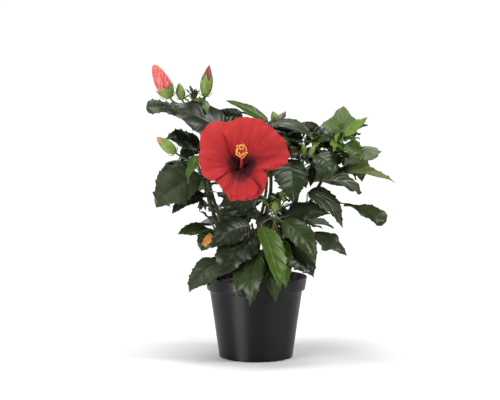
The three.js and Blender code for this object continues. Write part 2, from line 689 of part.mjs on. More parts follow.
/** A petal: a sheet of even thickness about its middle surface. */
function petal(shape) {
  const step = 0.02;
  const [front, back] = [[], []];
  for (let row = 0; row <= BLOOM.rows; row++) {
    for (let column = 0; column <= BLOOM.columns; column++) {
      const [s, t] = [row / BLOOM.rows, (2 * column) / BLOOM.columns - 1];
      const middle = petalPoint(shape, s, t);
      const along = petalPoint(shape, s + step, t).sub(middle);
      const across = petalPoint(shape, s, t + step).sub(middle);
      const normal = along.cross(across).normalize();
      front.push(middle.clone().addScaledVector(normal, BLOOM.half));
      back.push(middle.clone().addScaledVector(normal, -BLOOM.half));
    }
  }
  return sheet(front, back, BLOOM.rows, BLOOM.columns);
}

/** The closed solid between two grids of points, each rows by columns of cells. */
function sheet(front, back, rows, columns) {
  const wide = columns + 1;
  const count = wide * (rows + 1);
  const corners = [];
  for (let row = 0; row < rows; row++) {
    for (let column = 0; column < columns; column++) {
      const a = row * wide + column;
      const [b, c, d] = [a + 1, a + wide + 1, a + wide];
      corners.push(a, b, c, a, c, d);
      corners.push(count + a, count + c, count + b, count + a, count + d, count + c);
    }
  }
  const right = Array.from({ length: rows }, (_, row) => row * wide + columns);
  const edge = [
    ...Array.from({ length: columns }, (_, column) => column),
    ...right,
    ...Array.from({ length: columns }, (_, column) => rows * wide + columns - column),
    ...Array.from({ length: rows }, (_, row) => (rows - row) * wide),
  ];
  edge.forEach((a, i) => {
    const b = edge[(i + 1) % edge.length];
    corners.push(a, count + a, count + b, a, count + b, b);
  });
  return outward(new THREE.BufferGeometry().setFromPoints([...front, ...back]), corners);
}

/** The column of the bloom, with its stamens and its stigma. */
function bloomColumn() {
  const { long, r, from, stamens, stamen } = BLOOM.column;
  const parts = [limb(new THREE.LineCurve3(bloomPoint(0, 0, -2), bloomPoint(0, 0, long)), r, BOUGH_SIDES, 1)];
  for (let i = 0; i < stamens; i++) {
    const forward = long * (from + ((0.97 - from) * i) / (stamens - 1));
    const root = bloomPoint(0, 0, forward);
    const tip = bloomPoint(stamen, i * GOLDEN, forward + stamen * 0.35);
    parts.push(limb(new THREE.LineCurve3(root, tip), [0.7, 1.1], 3, 1));
  }
  return fuse(parts);
}

/** The bloom on its stalk: the stalk, the calyx and tube, the five petals and the column. */
function bloom() {
  const bough = BOUGHS[BLOOM.bough];
  const first = heading(...bough.arrive);
  const start = new THREE.Vector3(...bough.tip).addScaledVector(first, CLEAR);
  const seat = bloomPoint(0, 0, -BLOOM.tube);
  const reach = start.distanceTo(seat) * 0.4;
  const bend = [start.clone().addScaledVector(first, reach), seat.clone().addScaledVector(bloomAxis, -reach)];
  const stalk = new THREE.CubicBezierCurve3(start, ...bend, bloomPoint(0, 0, BLOOM.sunk - BLOOM.tube));
  const { r, long } = BLOOM.calyx;
  const tube = [
    [-BLOOM.tube, bough.r[1]],
    [-BLOOM.tube + 5, r * 0.85],
    [-BLOOM.tube + long * 0.6, r],
    [-BLOOM.tube + long, r * 0.8],
    [0, BLOOM.core],
    [5, BLOOM.core],
  ].map(([forward, radius]) => circle(bloomPoint(0, 0, forward), bloomRight, bloomUp, radius, BLOOM.sides));
  return fuse([
    limb(stalk, [bough.r[1], bough.r[1] * 0.9], BOUGH_SIDES, STEM_STEPS),
    loft(tube),
    ...BLOOM.petals.map(petal),
    bloomColumn(),
  ]);
}

// ---- The plant --------------------------------------------------------------------------------------------

const solids = { pot: pot(), soil: soil(), trunk: trunk(), bloom: bloom() };
for (const [name, bough] of Object.entries(BOUGHS)) {
  solids[name] = limb(boughCurve(bough), bough.r, BOUGH_SIDES, BOUGH_STEPS);
}
const stems = Object.fromEntries(Object.entries(MASSES).map(([name, mass]) => [name, stemSolid(mass)]));
for (const [name, mass] of Object.entries(MASSES)) {
  const otherStems = Object.keys(stems).filter((other) => other !== name).map((other) => stems[other]);
  solids[name] = foliage(mass, stems[name], [...Object.values(solids), ...otherStems]);
}

const kinds = { pot: "pot", soil: "soil", bloom: "petal" };
const plant = new THREE.Group();
for (const [name, solid] of Object.entries(solids)) {
  const kind = kinds[name] ?? (name in MASSES ? "leaf" : "bark");
  plant.add(meshOf(name, solid, LOOKS[kind]));
}

export default plant;
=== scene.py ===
"""A hibiscus shrub in a plastic nursery pot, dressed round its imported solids.

Lengths are millimetres and angles are degrees until a piece is made, which turns them into Blender's metres.
"""

import math
import random

import bpy
import numpy as np
from mathutils import Matrix, Vector, noise
from mathutils.bvhtree import BVHTree


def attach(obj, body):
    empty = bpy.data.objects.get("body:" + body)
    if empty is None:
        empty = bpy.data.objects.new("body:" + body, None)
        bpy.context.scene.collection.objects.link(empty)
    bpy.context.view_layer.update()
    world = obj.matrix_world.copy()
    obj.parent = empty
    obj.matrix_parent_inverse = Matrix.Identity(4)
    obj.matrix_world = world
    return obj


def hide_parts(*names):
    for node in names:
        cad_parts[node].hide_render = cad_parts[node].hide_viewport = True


MM = 0.001
BODY = "root"
CLEAR = 0.3  # gap between solids that meet
GOLDEN = 137.5  # turn from one leaf to the next round a stem

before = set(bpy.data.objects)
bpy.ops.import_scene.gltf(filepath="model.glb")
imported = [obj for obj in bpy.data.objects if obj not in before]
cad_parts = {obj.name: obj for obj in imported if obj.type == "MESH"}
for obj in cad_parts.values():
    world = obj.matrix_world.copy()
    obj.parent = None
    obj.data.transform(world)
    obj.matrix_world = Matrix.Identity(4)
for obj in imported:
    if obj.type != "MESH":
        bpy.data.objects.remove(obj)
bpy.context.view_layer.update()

# ---- Driving sizes, as in the part's source ----

POT = {
    "height": 104, "foot": 46.8, "shoulder": 59.2, "band_foot": 62.8, "rim": 65.6, "band": 17.6,
    "band_step": 1.8, "wall": 1.5, "floor": 2, "holes": 8, "hole_width": 7, "hole_height": 3.4,
    "hole_turn": 36.4, "sides": 160,
}
SOIL = {
    "top": 96, "edge": 94.5, "flat": 16, "below": POT["floor"] + CLEAR, "sides": 96, "rings": 36, "lump": 9,
}
# Bark chips on the soil: how many, the limits of their sizes, and how far they tip and tilt in radians.
CHIPS = {"count": 420, "long": (3, 8), "wide": (1.6, 4.5), "thick": (0.5, 1.2), "tip": 0.22, "tilt": 0.16}
TRUNK = {"foot": 8, "flare": 6, "top": 4.2, "height": 46, "lean": (1, 3), "knuckle": 7}

# A heading is (turn, rise): turn runs round +Z from +X, and rise is up from level. A bough's row: the height
# where it leaves the trunk, its headings at its ends with its tip between them, and its radii at its ends.
BOUGHS = {
    "left": (9, (188, 32), (-62, -9, 213), (190, 72), (3.3, 2.4)),
    "upper_left": (17, (150, 42), (-64, 13, 245), (195, 82), (3.1, 2.2)),
    "lower_left": (20, (218, 25), (-40, -17, 150), (185, 50), (2.6, 2)),
    "front_left": (27, (262, 22), (-4, -29, 160), (262, 68), (2.6, 2)),
    "front_right": (18, (300, 26), (22, -27, 170), (285, 66), (2.8, 2.1)),
    "low_right": (27, (338, 30), (42, -15, 178), (348, 42), (2.6, 2)),
    "right": (12, (352, 34), (84, -6, 228), (8, 60), (3.2, 2.2)),
    "middle_right": (31, (12, 42), (64, 2, 228), (15, 55), (3, 2.1)),
    "top": (43, (20, 76), (14, 12, 252), (190, 70), (3, 2.1)),
    "bloom": (37, (176, 52), (-13, 8, 203), (235, 70), (2.8, 2)),
    "under_bloom": (38, (278, 45), (2, -13, 180), (250, 62), (2.5, 1.9)),
    "back_left": (29, (128, 38), (-40, 46, 192), (110, 68), (3, 2)),
    "back_right": (20, (44, 38), (54, 44, 202), (60, 68), (3, 2)),
    "back": (35, (92, 48), (14, 58, 222), (88, 74), (3, 2)),
    "back_low_left": (12, (122, 22), (-26, 42, 142), (118, 45), (2.6, 1.9)),
    "back_low_right": (8, (62, 22), (34, 40, 146), (60, 45), (2.6, 1.9)),
}

STALK = {
    "share": 0.3, "rise": 25, "r": 0.95, "arch": 0.06, "slim": 0.6, "slim_under": 30,
    "swell": (1.5, 1.15, 1, 0.95, 0.92, 0.9, 0.9, 0.95, 1.05, 0.7),
}
FORM = {
    "roll": 0, "twist": 0, "wide": 0.58, "full": 0.37, "folds": (14, 14), "halves": (1, 1),
    "lobe": 0, "lobe_at": 0.5, "lobe_span": 0.17, "quilt": 1, "tooth": 1, "wave": 1, "palm": 0, "stripe": 1,
    "patch": None,
}


def leaf(at, stalk, blade, tone, **form):
    """A leaf's place on its stem, its stalk (turn, rise, length), blade (turn, rise, length, sag) and tone.

    Its form may name its roll and twist about its midrib, its width and where that is fullest, how far each
    half is folded up and how wide it is, its side lobes, its quilt, teeth and waves beside other leaves', how
    near its foot its side veins start (palm), how broad they show (stripe), and a patch: a tone between two
    stations and two places across.
    """
    return {"at": at, "stalk": stalk, "blade": blade, "tone": tone, **FORM, **form}


def bud(at, stalk, axis, wide, calyx, look):
    """A bud's place on its stem, its stalk and its axis, both (turn, rise, length), width, calyx and look."""
    return {"at": at, "stalk": stalk, "axis": axis, "wide": wide, "calyx": calyx, "look": look}


# A mass of foliage goes on from its bough's tip: its stem's length, turn and rise, and the seed of its rule;
# the leaves and buds of its outline; how many leaves the rule adds within which sector; its young leaves.
MASSES = {
    "upper_left": {
        "stem": (76, 205, 80), "seed": 11, "fill": 2, "sector": (70, 140), "young": 3,
        "leaves": [
            leaf(0.55, (325, 4, 33), (190, 40, 87, 36), "old", roll=-52, wide=0.6, full=0.24, wave=1.2,
                 quilt=0.4),
            leaf(0.7, (196, 52, 20), (182, 16, 57, 20), "grey", roll=-42, wide=0.44, full=0.78, tooth=1.6),
            leaf(0.25, (252, -3, 15), (209, 48, 55, 55), "old", roll=-45, wide=0.66),
            leaf(0.3, (230, 30, 12), (215, -24, 34, 30), "old", roll=-30, wide=0.7),
            leaf(0.9, (27, 0, 52), (165, 6, 38, 6), "mid", wide=0.4),
            leaf(0.6, (3, 17, 56), (200, 14, 43, 45), "old", roll=-60, wide=0.55),
            leaf(0.95, (334, 50, 16), (283, -40, 24, 10), "fresh", wide=0.42),
            leaf(0.8, None, (110, 20, 58, 40), "old"),
        ],
        "buds": [
            bud(0.97, (191, 21, 37), (185, 64, 48), 23, 0.36, "opening"),
            bud(0.95, (176, 32, 23), (180, 80, 22), 11, 0.6, "green"),
            bud(0.9, (18, 64, 22), (21, 82, 41), 15.5, 0.7, "tipped"),
        ],
    },
    "left": {
        "stem": (46, 170, 70), "seed": 12, "fill": 2, "sector": (110, 175),
        "leaves": [
            leaf(0.35, (259, 22, 8), (208, -2, 75, 52), "grey", roll=-62, wide=0.66, full=0.46, lobe=0.2,
                 lobe_at=0.6, halves=(0.98, 0.9), quilt=0.5, tooth=1.5),
            leaf(0.1, (199, -69, 8), (204, -7, 50, 40), "old", roll=-35, wide=0.5),
            leaf(0.04, (317, -56, 26), (207, 23, 26, 40), "old", roll=-30, twist=80, wide=0.62, wave=2),
            leaf(0.9, (286, 22, 19), (232, -28, 42, 50), "fresh", roll=-15, twist=50, wide=0.46, wave=2),
            leaf(0.55, None, (130, 10, 60, 50), "old"),
        ],
        "buds": [bud(0.8, (206, 27, 34), (194, 40, 32), 14, 0.95, "tinged")],
    },
    "lower_left": {
        "stem": (26, 178, 58), "seed": 13, "fill": 1, "sector": (130, 160),
        "leaves": [
            leaf(0.9, (276, -51, 8), (202, 22, 50, 45), "mid", roll=-5, twist=-50, wide=0.5),
            leaf(0.6, (270, -8, 10), (210, -11, 32, 60), "mid", roll=-42, wide=1,
                 patch=("amber", (0.2, 0.75), (-0.5, 0.6))),
            leaf(0.1, (267, -53, 32), (212, -8, 62, 55), "grey", roll=-38, wide=0.62, halves=(0.8, 1.1)),
            leaf(0.3, (279, -62, 27), (226, -36, 43, 35), "old", roll=-30, wide=0.55),
        ],
    },
    "front_left": {
        "stem": (17, 262, 62), "seed": 14,
        "leaves": [
            leaf(0.95, (251, -10, 9), (211, 0, 62, 45), "old", roll=-50, wide=0.62),
            leaf(0.75, (286, -42, 16), (218, -15, 76, 50), "old", roll=-36, wide=0.64),
            leaf(0.1, (257, -47, 39), (233, -48, 53, 28), "mid", roll=-15, wide=0.44),
            leaf(0.3, (283, -40, 39), (247, -51, 68, 30), "mid", wide=0.42),
        ],
    },
    "front_right": {
        "stem": (18, 300, 66), "seed": 15, "young": 4,
        "leaves": [
            leaf(0.8, (221, -23, 26), (300, -46, 88, 22), "bright", roll=4, wide=0.44, folds=(36, 12)),
            leaf(0.2, (245, -58, 44), (295, -49, 61, 26), "mid", roll=5, wide=0.44),
            leaf(0.4, (296, -50, 24), (284, -51, 67, 26), "fresh", roll=8, wide=0.38),
            leaf(0.9, (323, -32, 13), (327, -19, 70, 50), "mid", roll=42, wide=0.46),
            leaf(0.3, (328, -57, 24), (328, -25, 64, 38), "old", roll=34, wide=0.66, halves=(1.35, 0.9)),
            leaf(0.6, (29, 10, 19), (347, 25, 56, 40), "old", roll=52, wide=0.52),
        ],
    },
    "low_right": {
        "stem": (32, 350, 44), "seed": 16, "fill": 2, "sector": (100, 150),
        "leaves": [
            leaf(0.8, (353, -69, 36), (339, -16, 52, 30), "grey", roll=46, wide=0.4, lobe=0.5, wave=1.6,
                 halves=(1.35, 0.8)),
            leaf(0.95, (60, 67, 16), (339, -14, 66, 60), "striped", roll=36, wide=0.42, full=0.3, palm=1,
                 halves=(1.05, 1.1), stripe=3),
            leaf(0.97, (30, 30, 26), (318, -30, 28, 30), "grey", roll=30, wide=0.5),
            leaf(0.9, (11, 0, 50), (352, -17, 58, 10), "mid", roll=14, twist=50, wide=0.41, full=0.76,
                 wave=1.8, folds=(14, 40)),
        ],
    },
    "right": {
        "stem": (64, 25, 66), "seed": 17, "fill": 2, "sector": (60, 130), "young": 4,
        "leaves": [
            leaf(0.05, (328, -13, 11), (330, 7, 48, 50), "striped", roll=-40, wide=0.72, full=0.5, palm=1,
                 halves=(1.1, 1.35), stripe=3.5),
            leaf(0.15, (314, 7, 21), (346, 12, 76, 42), "olive", roll=22, wide=0.34, full=0.26,
                 halves=(0.9, 1.15)),
            leaf(0.6, (339, 11, 29), (324, 6, 28, 70), "pale", roll=30, wide=0.86, full=0.8, tooth=2.6,
                 palm=1),
            leaf(0.5, (286, 31, 21), (324, 7, 39, 60), "fresh", roll=30, wide=1.1, folds=(50, 10), wave=1.8),
            # This leaf's tone has a painted grey sheen in its colour.
            leaf(0.97, (263, -3, 14), (83, 88, 41, 30), "dusty", wide=0.52, full=0.56, lobe=1.6, lobe_at=0.32,
                 lobe_span=0.4, tooth=0.35, palm=1, wave=1.6),
            leaf(0.95, (276, 6, 22), (347, 45, 37, 8), "young", roll=50, wide=0.46, tooth=1.6),
            leaf(0.85, (41, 61, 19), (20, 16, 31, 20), "mid", roll=40, wide=0.5),
        ],
    },
    "middle_right": {
        "stem": (56, 150, 80), "seed": 18, "fill": 2, "sector": (40, 120), "young": 2,
        "leaves": [
            leaf(0.45, (278, 21, 29), (311, -4, 42, 65), "mid", roll=25, wide=0.76),
            leaf(0.4, (215, 11, 35), (275, -38, 60, 50), "mid", roll=-4, wide=0.64, halves=(1.35, 1)),
            leaf(0.97, (143, 35, 27), (12, 8, 42, 50), "old", roll=35, wide=0.52),
            leaf(0.8, (290, 30, 19), (332, 25, 26, 30), "mid", roll=40, wide=0.6),
            leaf(0.1, (337, 59, 13), (248, -60, 27, 10), "grey", wide=0.42),
            leaf(0.7, (218, 22, 19), (237, 0, 30, 40), "mid", roll=-30, wide=0.7),
        ],
        "buds": [
            bud(0.8, (244, -17, 29), (207, 81, 15), 7, 0.6, "green"),
            bud(0.75, (258, -14, 29), (345, 61, 16), 7, 0.6, "green"),
        ],
    },
    "top": {
        "stem": (52, 60, 86), "seed": 19, "fill": 2, "sector": (110, 165),
        "leaves": [
            leaf(0.85, (289, -1, 15), (344, 24, 63, 70), "striped", roll=20, wide=0.5, palm=1,
                 halves=(1.25, 0.9), stripe=2.5),
            leaf(0.95, (310, 8, 11), (187, 34, 60, 14), "fresh", roll=-46, wide=0.27),
            leaf(0.98, (230, 25, 6), (145, 19, 34, 10), "grey", roll=20, wide=0.5),
            leaf(0.6, (330, 25, 20), (330, 0, 44, 40), "mid", roll=20, wide=0.7),
        ],
        "buds": [
            bud(0.98, (346, -7, 19), (201, 70, 16), 10, 0.6, "green"),
            bud(0.7, (324, -20, 43), (204, 60, 19), 9, 0.6, "green"),
        ],
    },
    "under_bloom": {
        "stem": (20, 240, 66), "seed": 20,
        "leaves": [
            leaf(0.95, (308, 31, 17), (190, 7, 57, 30), "old", roll=-62, wide=0.5),
            leaf(0.7, (262, -2, 9), (196, 8, 46, 34), "old", roll=-45, wide=0.5),
            leaf(0.5, (221, -15, 11), (183, 19, 42, 30), "old", roll=-55, wide=0.5),
        ],
    },
    "back_left": {"stem": (70, 110, 78), "seed": 21, "fill": 9, "sector": (60, 165)},
    "back_right": {"stem": (74, 60, 76), "seed": 22, "fill": 9, "sector": (0, 125)},
    "back": {"stem": (64, 92, 80), "seed": 23, "fill": 12, "sector": (40, 145)},
    "back_low_left": {"stem": (30, 115, 50), "seed": 24, "fill": 6, "sector": (60, 118)},
    "back_low_right": {"stem": (30, 62, 50), "seed": 25, "fill": 6, "sector": (40, 125)},
}
# The limits that the seeded rule picks between: for the leaves that it adds, and for a tip's young ones.
FILL = {
    "at": (0.08, 0.96), "lift": (5, 45), "rise": (-10, 30), "length": (56, 80), "sag": (40, 85),
    "roll": (-30, 30), "wide": (0.54, 0.68),
}
YOUNG = {"stalk": 7, "rise": (40, 75), "length": (14, 24), "wide": (0.4, 0.55), "sag": (5, 30)}
# Shoots that only the scene has, within the masses' reach: the place on the mass's stem, the heading, the
# length, the number of leaves, their size and their tone.
SHOOTS = {
    "upper_left": [
        (0.99, (186, 62), 19, 3, 9, "mid"), (0.98, (200, 80), 17, 4, 10, "old"),
        (0.97, (150, 66), 20, 3, 9, "mid"), (0.96, (110, 70), 15, 3, 9, "old"),
        (0.99, (230, 50), 14, 3, 8, "mid"), (0.98, (176, 34), 24, 3, 11, "mid"),
        (0.94, (192, 8), 24, 3, 12, "fresh"),
    ],
    "front_right": [
        (0.55, (205, 62), 24, 3, 11, "young"), (0.8, (236, 80), 20, 3, 10, "fresh"),
        (0.9, (318, 74), 24, 3, 12, "young"), (0.97, (350, 56), 26, 4, 11, "young"),
        (0.1, (70, 10), 22, 3, 40, "old"), (0.3, (120, 30), 20, 3, 34, "old"),
    ],
    "right": [
        (0.9, (262, 40), 16, 3, 13, "young"), (0.97, (222, 62), 17, 4, 12, "fresh"),
        (0.98, (300, 76), 15, 3, 10, "young"), (0.85, (190, 50), 20, 3, 14, "fresh"),
        (0.99, (20, 70), 14, 3, 11, "mid"), (0.75, (236, 36), 18, 3, 13, "mid"),
        (0.6, (200, 20), 18, 4, 24, "fresh"), (0.5, (330, 10), 14, 3, 22, "fresh"),
        (0.4, (160, 20), 16, 3, 24, "mid"), (0.3, (335, -8), 13, 3, 25, "fresh"),
        (0.8, (250, 12), 12, 4, 21, "young"), (0.95, (235, 24), 12, 4, 15, "young"),
        (0.7, (330, 20), 12, 3, 20, "mid"), (0.9, (300, 30), 10, 3, 15, "fresh"),
        (0.85, (12, 22), 5, 2, 24, "old"),
    ],
    "middle_right": [
        (0.9, (350, 40), 16, 3, 16, "fresh"), (0.97, (280, 60), 12, 3, 11, "mid"),
        (0.8, (20, 30), 22, 4, 20, "mid"), (0.6, (200, 20), 20, 4, 26, "old"),
        (0.5, (90, 10), 18, 3, 30, "old"), (0.97, (10, 10), 16, 4, 22, "fresh"),
        (0.9, (290, 8), 14, 4, 21, "fresh"), (0.7, (340, 0), 16, 4, 25, "mid"),
        (0.95, (185, 12), 20, 4, 25, "mid"), (0.99, (215, 30), 14, 3, 20, "fresh"),
    ],
    "top": [
        (0.6, (350, 0), 20, 4, 26, "old"), (0.75, (330, -10), 16, 3, 22, "mid"),
        (0.4, (0, 20), 24, 4, 30, "old"), (0.7, (10, 16), 18, 4, 26, "old"),
        (0.85, (0, -8), 14, 3, 24, "mid"),
    ],
    "under_bloom": [(0.9, (40, 20), 16, 4, 30, "old"), (0.5, (90, 0), 14, 3, 32, "old")],
    "lower_left": [(0.8, (120, 40), 14, 3, 20, "old")],
    "front_left": [(0.05, (30, -20), 16, 3, 24, "old")],
    "left": [
        (0.7, (150, 30), 16, 3, 20, "old"), (0.02, (345, -10), 10, 3, 17, "old"),
        (0.02, (200, -50), 14, 3, 15, "old"),
    ],
}
# A shoot's radii, how its leaves stand from its tip down, and the limits that their forms are drawn from.
SHOOT = {
    "r": (1.0, 0.7), "step": 0.12, "drop": 8, "turn": (-25, 25), "lift": (-30, 15), "grow": (0.75, 1.25),
    "sag": (10, 60), "wide": (0.45, 0.7), "roll": (-40, 40), "wave": 2,
}
FILL_TONES = ("old", "old", "mid", "mid", "fresh")  # what the rule's leaves take, by lot

# Each petal's angle, reach and half spread, and the dip in its rim: how deep, at which side place, how wide.
BLOOM = {
    "throat": (-18, -35, 246), "tilt": 24, "tube": 34, "calyx_r": 8.5, "calyx_long": 24, "core": 5.5,
    "petals": [
        (67, 60.5, 54, (0, 0, 1)), (24, 61, 46, (0.28, -1.05, 0.5)), (292.5, 52, 43, (0.2, 0.9, 0.75)),
        (256, 52, 44, (0.13, -0.55, 0.5)), (157, 65.5, 60, (0.175, 0.5, 0.75)),
    ],
    "depth": 25, "overlap": 2, "foot_half": 46, "foot_turn": 90, "half": 0.25, "grid": (56, 52),
    "column": 72, "column_r": (2.1, 1.5), "stamens": 46, "along": (0.72, 0.95), "stamen": 6.6,
    "filament_r": (0.3, 0.22), "anther": (1.25, 0.8, 0.75), "pads": 5, "pad": (1.1, 1.1, 0.7),
    "pad_r": (0.5, 0.4), "bracts": 8, "bract_r": (0.6, 0.2),
}
# Waves across a petal: their radians to each side, their height, and which of the drawn shifts they take. The
# frill is a share of the petal's reach. The rim also rolls back, and fine pleats run from the foot outwards.
WAVES = {
    "frill": ((6, 0.016, 0), (15, 0.012, 1), (29, 0.007, 2)), "swell": ((4, 2, 3), (9, 1.2, 4)),
    "pleat": (3, 2.5, 5), "rim": (21, 0.9, 6), "roll_back": 2.5, "pleats": 24, "pleat_high": 0.22,
}

# ---- Light and camera ----

CAMERA = {
    "place": (-7.7, -2500, 450), "aim": (-7.7, 0, 201.8), "lens": 141.9, "sensor": 36, "far": 50000,
}
# Each lamp's place and aim, its width and height, its power in watts and its colour.
LAMPS = {
    "key": ((1150, -650, 1450), (0, 0, 200), (500, 400), 18, (1.0, 0.98, 0.95)),
    "top": ((-150, 100, 1700), (0, 0, 150), (900, 800), 21, (1.0, 1.0, 1.0)),
    "strip_left": ((-900, -930, 300), (0, 0, 60), (700, 720), 17, (1.0, 1.0, 1.0)),
    "rim_left": ((-1250, 560, 500), (0, 0, 160), (300, 1000), 2, (0.97, 0.99, 1.0)),
    "strip_right": ((1150, -300, 300), (0, 0, 60), (180, 800), 1.5, (0.98, 0.99, 1.0)),
    "behind": ((0, 1500, 900), (0, 300, 0), (1800, 600), 10, (1.0, 1.0, 1.0)),
}
FLOOR = {"radius": 700, "rings": 40, "sides": 64}


def add_aimed(name, data, place, aim):
    """A camera or lamp at its place, turned so that its -Z points at its aim."""
    thing = bpy.data.objects.new(name, data)
    thing.location = Vector(place) * MM
    thing.rotation_euler = (Vector(aim) - Vector(place)).to_track_quat("-Z", "Y").to_euler()
    bpy.context.collection.objects.link(thing)
    return thing


def add_camera():
    data = bpy.data.cameras.new("camera")
    data.sensor_width = CAMERA["sensor"]
    data.lens = CAMERA["lens"]
    data.clip_end = CAMERA["far"] * MM
    bpy.context.scene.camera = add_aimed("camera", data, CAMERA["place"], CAMERA["aim"])


def add_lamps():
    for name, (place, aim, size, power, colour) in LAMPS.items():
        data = bpy.data.lights.new(name, "AREA")
        data.shape = "RECTANGLE"
        data.size, data.size_y = [side * MM for side in size]
        data.energy = power
        data.color = colour
        add_aimed(name, data, place, aim).visible_camera = False


def add_surroundings():
    """A white world that only the camera sees, and the plain floor."""
    scene = bpy.context.scene
    scene.view_settings.view_transform = "Standard"
    world = bpy.data.worlds.new("studio")
    world.use_nodes = True
    background = world.node_tree.nodes["Background"].inputs
    background["Color"].default_value = (1, 1, 1, 1)
    background["Strength"].default_value = 1.05
    world.cycles_visibility.glossy = False
    world.cycles_visibility.diffuse = False
    scene.world = world
    sides, rings = FLOOR["sides"], FLOOR["rings"]
    points = [[[0, 0, 0]], *[ring(FLOOR["radius"] * i / rings, 0, sides) for i in range(1, rings + 1)]]
    middle = [(0, 1 + s, 1 + (s + 1) % sides) for s in range(sides)]
    floor = mesh_object("floor", points, middle + grid_faces(rings, sides, 1, closed=True).tolist())
    floor.data.materials.append(floor_material())


# ---- Materials ----


def srgb(red, green, blue):
    """A colour of three parts from 0 to 255, as the linear colour that shaders take."""
    parts = [part / 255 for part in (red, green, blue)]
    return tuple(part / 12.92 if part <= 0.04045 else ((part + 0.055) / 1.055) ** 2.4 for part in parts)


class Look:
    """A material round one Principled shader, with the few nodes that the looks here share."""

    def __init__(self, name, roughness, **sockets):
        self.material = bpy.data.materials.new(name)
        self.material.use_nodes = True
        self.nodes = self.material.node_tree.nodes
        self.shader = self.nodes["Principled BSDF"]
        self.shader.inputs["Roughness"].default_value = roughness
        for socket, value in sockets.items():
            self.shader.inputs[socket.replace("_", " ")].default_value = value
        self.place = self.nodes.new("ShaderNodeTexCoord").outputs["Object"]

    def link(self, source, socket):
        self.material.node_tree.links.new(source, socket)

    def noise(self, size, detail=3, stretch=(1, 1, 1), source=None):
        """Noise whose marks are about size millimetres across, drawn out where stretch is under 1."""
        mapping = self.nodes.new("ShaderNodeMapping")
        mapping.inputs["Scale"].default_value = stretch
        self.link(source or self.place, mapping.inputs["Vector"])
        texture = self.nodes.new("ShaderNodeTexNoise")
        texture.inputs["Scale"].default_value = 1 / (size * MM)
        texture.inputs["Detail"].default_value = detail
        self.link(mapping.outputs["Vector"], texture.inputs["Vector"])
        return texture.outputs["Fac"]

    def ramp(self, fac, stops):
        """A colour ramp of stops: a place, then a colour of three parts from 0 to 255."""
        ramp = self.nodes.new("ShaderNodeValToRGB")
        elements = ramp.color_ramp.elements
        while len(elements) < len(stops):
            elements.new(0.5)
        for element, (place, *colour) in zip(elements, stops):
            element.position = place
            element.color = (*srgb(*colour), 1)
        self.link(fac, ramp.inputs["Fac"])
        return ramp.outputs["Color"]

    def mix(self, fac, first, second):
        """Two colours mixed by a value."""
        node = self.nodes.new("ShaderNodeMix")
        node.data_type = "RGBA"
        self.link(fac, node.inputs["Factor"])
        for socket, colour in ((node.inputs[6], first), (node.inputs[7], second)):
            if isinstance(colour, tuple):
                socket.default_value = (*colour, 1)
            else:
                self.link(colour, socket)
        return node.outputs[2]

    def math(self, kind, *values):
        node = self.nodes.new("ShaderNodeMath")
        node.operation = kind
        for socket, value in zip(node.inputs, values):
            if isinstance(value, (int, float)):
                socket.default_value = value
            else:
                self.link(value, socket)
        return node.outputs[0]

    def times(self, first, second):
        return self.math("MULTIPLY", first, second)

    def plus(self, first, second):
        return self.math("ADD", first, second)

    def split(self):
        """The parts of a point's place on the object."""
        parts = self.nodes.new("ShaderNodeSeparateXYZ")
        self.link(self.place, parts.inputs["Vector"])
        return parts.outputs

    def base(self, colour):
        self.link(colour, self.shader.inputs["Base Color"])

    def rough(self, fac, least, most):
        """Roughness that runs from least to most with a value."""
        spread = self.nodes.new("ShaderNodeMapRange")
        spread.inputs["To Min"].default_value = least
        spread.inputs["To Max"].default_value = most
        self.link(fac, spread.inputs["Value"])
        self.link(spread.outputs["Result"], self.shader.inputs["Roughness"])

    def bump(self, height, depth, strength):
        """Relief of this depth in millimetres, on top of any bump that is there already."""
        bump = self.nodes.new("ShaderNodeBump")
        bump.inputs["Strength"].default_value = strength
        bump.inputs["Distance"].default_value = depth * MM
        self.link(height, bump.inputs["Height"])
        normal = self.shader.inputs["Normal"]
        if normal.is_linked:
            self.link(normal.links[0].from_socket, bump.inputs["Normal"])
        self.link(bump.outputs["Normal"], normal)


def shade(colour, factor):
    return tuple(part * factor for part in colour)


def floor_material():
    look = Look("floor_pale", 0.8, Specular_IOR_Level=0.1)
    soft = look.noise(300, 2)
    look.base(look.mix(soft, (0.86, 0.86, 0.86), (0.9, 0.9, 0.9)))
    look.shader.inputs["Emission Color"].default_value = (1, 1, 1, 1)
    look.shader.inputs["Emission Strength"].default_value = 0.06
    return look.material


# Upper side, vein on it, underside, vein on that, and the roughness of the upper side.
TONES = {
    "old": ((31, 40, 22), (47, 57, 33), (56, 68, 44), (78, 90, 60), 0.32),
    "mid": ((43, 57, 26), (64, 79, 42), (66, 82, 48), (92, 106, 68), 0.33),
    "fresh": ((58, 86, 27), (84, 108, 46), (82, 100, 54), (108, 124, 76), 0.33),
    # The next tone is a light yellow-green with painted highlight in its colour.
    "bright": ((70, 98, 33), (104, 128, 58), (112, 134, 68), (146, 164, 98), 0.3),
    "young": ((98, 128, 50), (118, 146, 70), (112, 136, 70), (136, 156, 92), 0.38),
    "olive": ((98, 108, 58), (118, 128, 76), (88, 98, 58), (112, 122, 78), 0.42),
    # The next tone is a dark green with a painted grey sheen in its colour.
    "grey": ((52, 62, 40), (72, 82, 56), (78, 88, 66), (106, 116, 90), 0.38),
    # The next tone is a grey-green with a painted grey sheen in its colour.
    "dusty": ((88, 106, 64), (104, 124, 78), (96, 112, 76), (116, 132, 92), 0.42),
    "pale": ((112, 124, 92), (84, 98, 62), (122, 134, 102), (96, 110, 76), 0.45),
    "striped": ((52, 62, 40), (134, 142, 118), (60, 70, 48), (144, 152, 128), 0.42),
    "amber": ((206, 140, 76), (186, 130, 72), (196, 140, 86), (170, 124, 76), 0.5),
}


